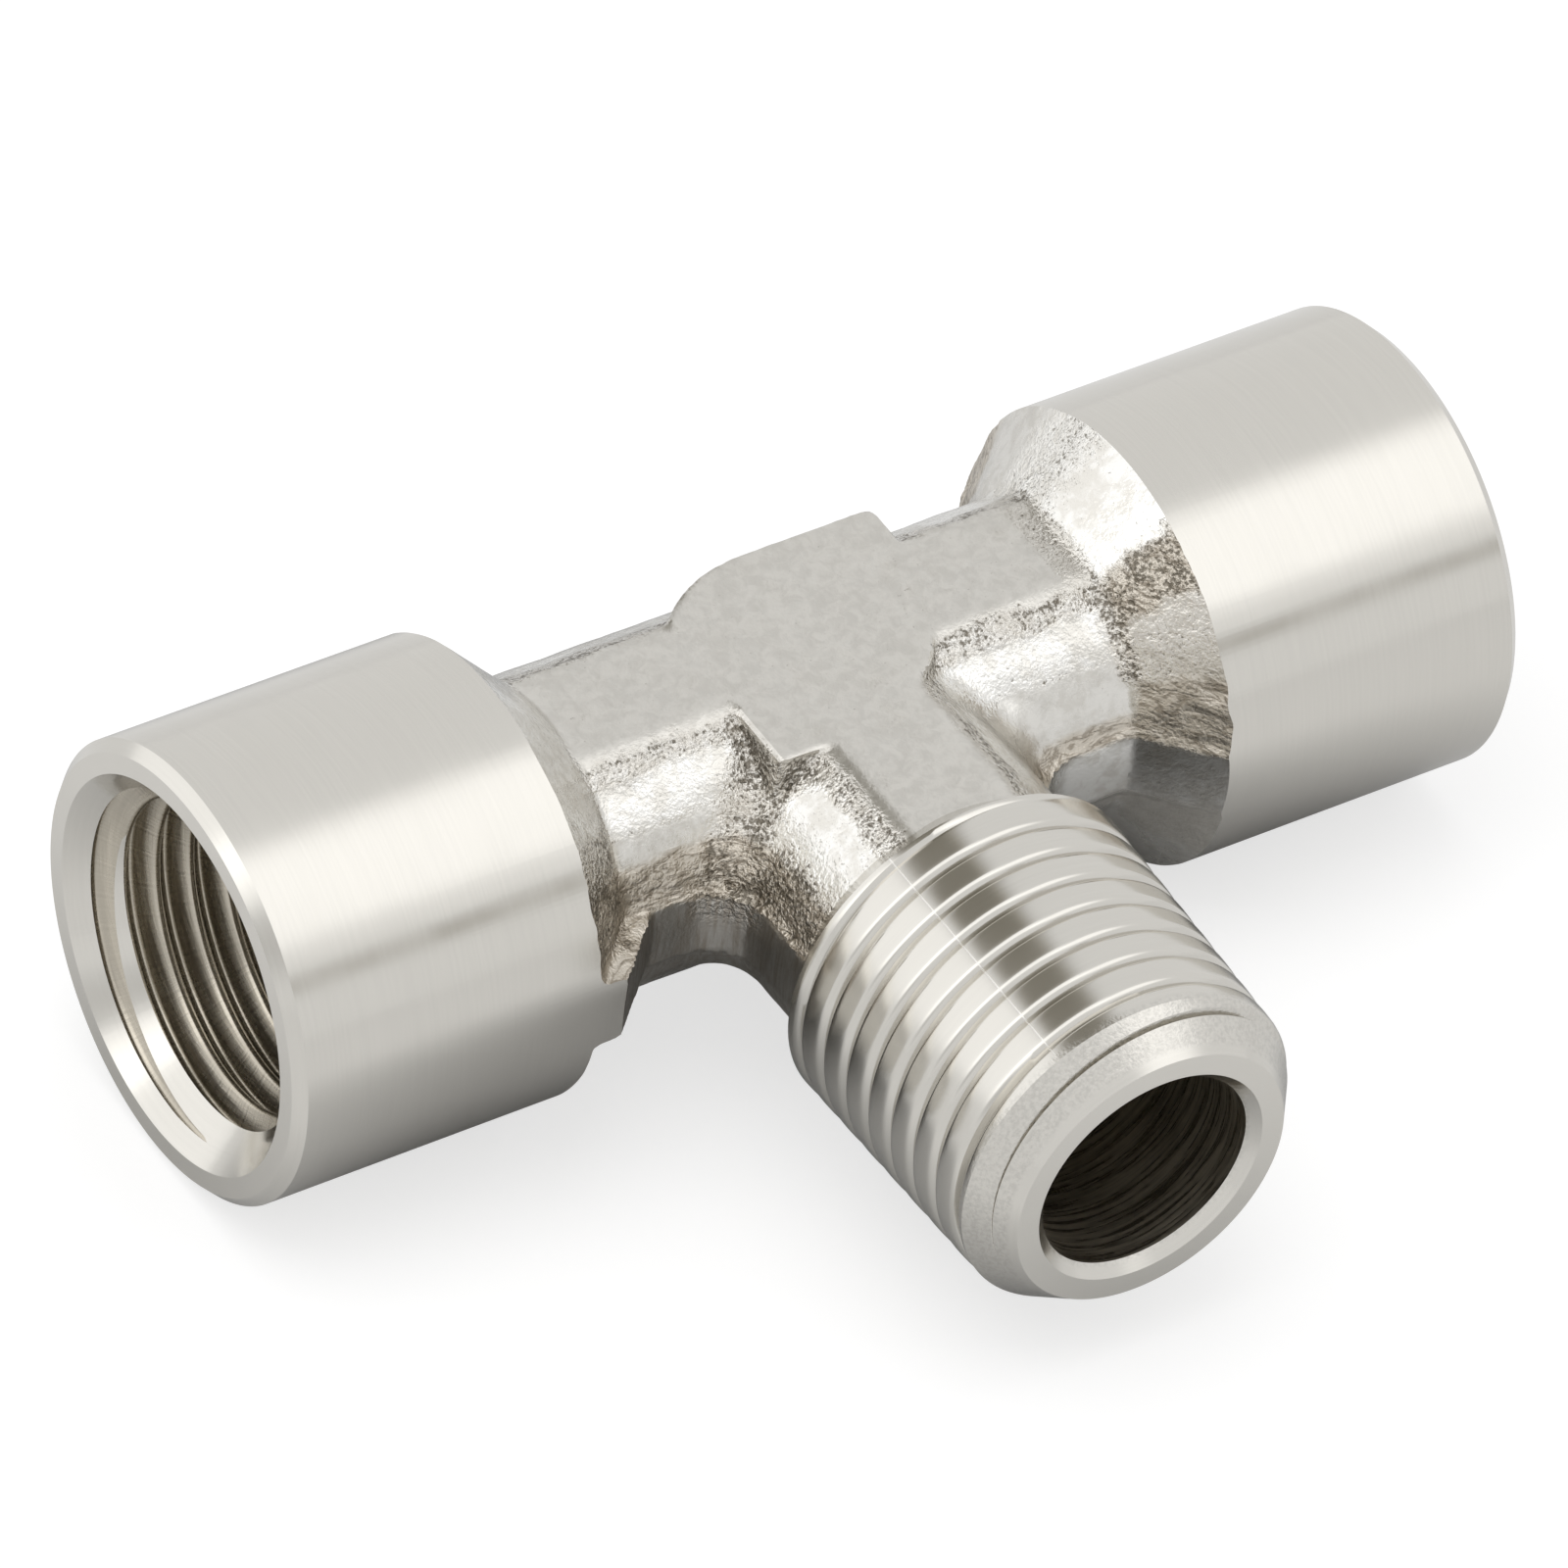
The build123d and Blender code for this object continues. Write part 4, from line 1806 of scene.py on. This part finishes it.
@dataclass
class Studio:
    """Plain pale floor, even surroundings with soft boxes and dark flags, and a soft lamp.

    Lengths are in metres. The floor's glow is mirrored only past floor_near from the middle,
    and fully past floor_far. Where the surroundings' level is below the second of the dark
    levels they turn to the dark tint, and have it fully below the first.
    """

    floor_z: float
    ambient: float = 0.87
    diffuse_share: float = 0.6
    floor_sides: int = 96
    floor_radius: float = 0.6
    floor_shade: float = 0.45
    floor_near: float = 0.018
    floor_far: float = 0.038
    floor_white: float = 0.66
    mirrored_white: float = 0.6
    dark_levels: tuple[float, float] = (0.25, 0.75)
    dark_tint: tuple[float, float, float, float] = (1.0, 0.94, 0.8, 1.0)
    lamp_place: tuple[float, float, float] = (-0.1, 0.1, 0.6)
    lamp_size: float = 0.6
    lamp_power: float = 1.6
    glows: tuple[Glow, ...] = (
        Glow(-34.0, 55.0, 12.0, 28.0, 0.54),
        Glow(-58.0, 36.0, 2.0, 13.0, 0.14),
        Glow(-166.0, 23.0, 8.0, 22.0, -0.2),
        Glow(-62.0, 23.0, 1.0, 6.0, -0.4),
    )
    panels: tuple[Panel, ...] = (
        Panel((-55.5, -29.0), (-35.0, 30.0), 3.0, 8.0, 0.36),
        Panel((-29.0, -10.5), (-40.0, 11.0), 3.5, 3.0, -0.62),
        Panel((-52.0, -7.0), (13.0, 32.0), 4.0, 2.0, 0.5),
    )

    def build(self) -> None:
        """Makes the floor, the world and the lamp."""
        self.floor()
        self.world()
        self.lamp()

    def lamp(self) -> None:
        """Large soft lamp overhead. It lights the floor and isn't seen in the metal."""
        data = bpy.data.lights.new("overhead", "AREA")
        data.shape = "SQUARE"
        data.size = self.lamp_size
        data.energy = self.lamp_power
        lamp = add_object("overhead", data)
        lamp.location = self.lamp_place
        lamp.rotation_euler = (-lamp.location).to_track_quat("-Z", "Y").to_euler()
        lamp.visible_glossy = False

    def floor(self) -> None:
        """Round pale floor that the sockets rest on."""
        turn = np.linspace(0.0, 2.0 * np.pi, self.floor_sides + 1)[:-1]
        rim = np.stack([np.cos(turn), np.sin(turn), np.zeros_like(turn)], axis=-1)
        points = rim * self.floor_radius + np.array([0.0, 0.0, self.floor_z])
        mesh = bpy.data.meshes.new("floor")
        mesh.from_pydata(points.tolist(), [], [list(range(len(turn)))])
        mesh.materials.append(self.floor_finish())
        add_object("floor", mesh)

    def floor_finish(self) -> bpy.types.Material:
        """Matt floor that takes shadows, and glows for the camera and, far out, in the metal.

        Returns:
            The material.
        """
        material = bpy.data.materials.new("pale_floor")
        material.use_nodes = True
        nodes = Nodes(material.node_tree)
        matt = nodes.add("BsdfDiffuse", {"Color": (*[self.floor_shade] * 3, 1.0)})
        path = nodes.add("LightPath").outputs
        mirrored = nodes.math("MAXIMUM", path["Is Glossy Ray"], path["Is Transmission Ray"])
        place = nodes.add("TexCoord").outputs["Object"]
        away = nodes.add("VectorMath", {0: place}, operation="LENGTH").outputs["Value"]
        # Painted shade: the metal sees the floor's glow only far from the middle, so the floor that
        # it mirrors near the fitting is darker than the open floor
        far = nodes.spread(away, self.floor_near, self.floor_far, 0.0, self.mirrored_white)
        mirrored = nodes.math("MULTIPLY", mirrored, far)
        seen = nodes.math("MAXIMUM", path["Is Camera Ray"], mirrored)
        glow = nodes.add("Emission", {"Strength": nodes.math("MULTIPLY", seen, self.floor_white)})
        both = nodes.add("AddShader", {0: matt.outputs[0], 1: glow.outputs[0]})
        nodes.add("OutputMaterial", {"Surface": both.outputs[0]})
        return material

    def world(self) -> None:
        """Surroundings: an even level, changed by soft patches, and warmer where it is dark."""
        world = bpy.data.worlds.new("studio")
        bpy.context.scene.world = world
        world.use_nodes = True
        nodes = Nodes(world.node_tree)
        towards = nodes.add("TexCoord").outputs["Generated"]
        level = self.ambient
        for glow in self.glows:
            outer, inner = (math.cos(math.radians(a)) for a in (glow.outer, glow.inner))
            match = nodes.dot(towards, glow.direction())
            patch = nodes.spread(match, outer, inner, 0.0, glow.change)
            level = nodes.math("ADD", patch, level)
        for panel in self.panels:
            share = panel.change
            for across, place, soft in panel.sides():
                match = nodes.dot(towards, across)
                side = nodes.spread(match, place - soft, place + soft, 0.0, 1.0)
                share = nodes.math("MULTIPLY", side, share)
            level = nodes.math("ADD", share, level)
        dark = nodes.spread(level, *self.dark_levels, 1.0, 0.0)
        colour = nodes.blend(dark, (1.0, 1.0, 1.0, 1.0), self.dark_tint)
        path = nodes.add("LightPath").outputs
        share = nodes.math("MULTIPLY_ADD", path["Is Diffuse Ray"], self.diffuse_share - 1.0, 1.0)
        level = nodes.math("MULTIPLY", level, share)
        strength = nodes.math("MAXIMUM", level, path["Is Camera Ray"])
        background = nodes.add("Background", {"Color": colour, "Strength": strength})
        nodes.add("OutputWorld", {"Surface": background.outputs[0]})


@dataclass(frozen=True)
class Viewpoint:
    """Camera at the photograph's angle, with the distances in millimetres.

    Clip is the nearest and the farthest distance that it sees, in metres.
    """

    azimuth: float = -36.807
    elevation: float = 43.501
    roll: float = 7.134
    distance: float = 685.67
    aside: float = 0.1519
    above: float = 1.1503
    lens: float = 464.48
    sensor: float = 36.0
    clip: tuple[float, float] = (0.01, 20.0)

    def build(self) -> None:
        """Makes the camera and gives it to the scene.

        The camera looks along its forward direction at a point that lies aside of and above
        the origin, as far as it is moved back from it.
        """
        turn, lift, roll = (math.radians(a) for a in (self.azimuth, self.elevation, self.roll))
        forward = Vector(
            (-math.sin(turn) * math.cos(lift), math.cos(turn) * math.cos(lift), -math.sin(lift))
        )
        level = Vector((math.cos(turn), math.sin(turn), 0.0))
        upright = level.cross(forward)
        right = level * math.cos(roll) + upright * math.sin(roll)
        up = upright * math.cos(roll) - level * math.sin(roll)
        place = -forward * self.distance - right * self.aside - up * self.above
        data = bpy.data.cameras.new("photo_view")
        data.lens = self.lens
        data.sensor_width = self.sensor
        data.sensor_fit = "HORIZONTAL"
        data.clip_start, data.clip_end = self.clip
        camera = add_object("photo_view", data)
        turned = Matrix((right, up, -forward)).transposed().to_4x4()
        camera.matrix_world = Matrix.Translation(place * MM) @ turned
        bpy.context.scene.camera = camera


def main() -> None:
    """Loads the frame, makes the view, the room and the fitting, and finishes."""
    logging.basicConfig(level=logging.INFO, format="%(name)s: %(message)s", stream=sys.stdout)
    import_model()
    low, high = (Vector(corner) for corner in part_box(NODE))
    bpy.context.scene.view_settings.view_transform = "Standard"
    Viewpoint().build()
    Studio(floor_z=low.z).build()
    tee = Tee(Finishes(), low, high).build()
    shading = tee.modifiers.new("flat_flanks", "WEIGHTED_NORMAL")
    shading.keep_sharp = True
    shading.weight = FLAT_WEIGHT
    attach(tee, BODY)
    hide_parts(NODE)
    mesh = tee.data
    mesh.calc_loop_triangles()
    LOG.info("%s rides on %s, %d triangles", tee.name, BODY, len(mesh.loop_triangles))


if __name__ == "__main__":
    main()
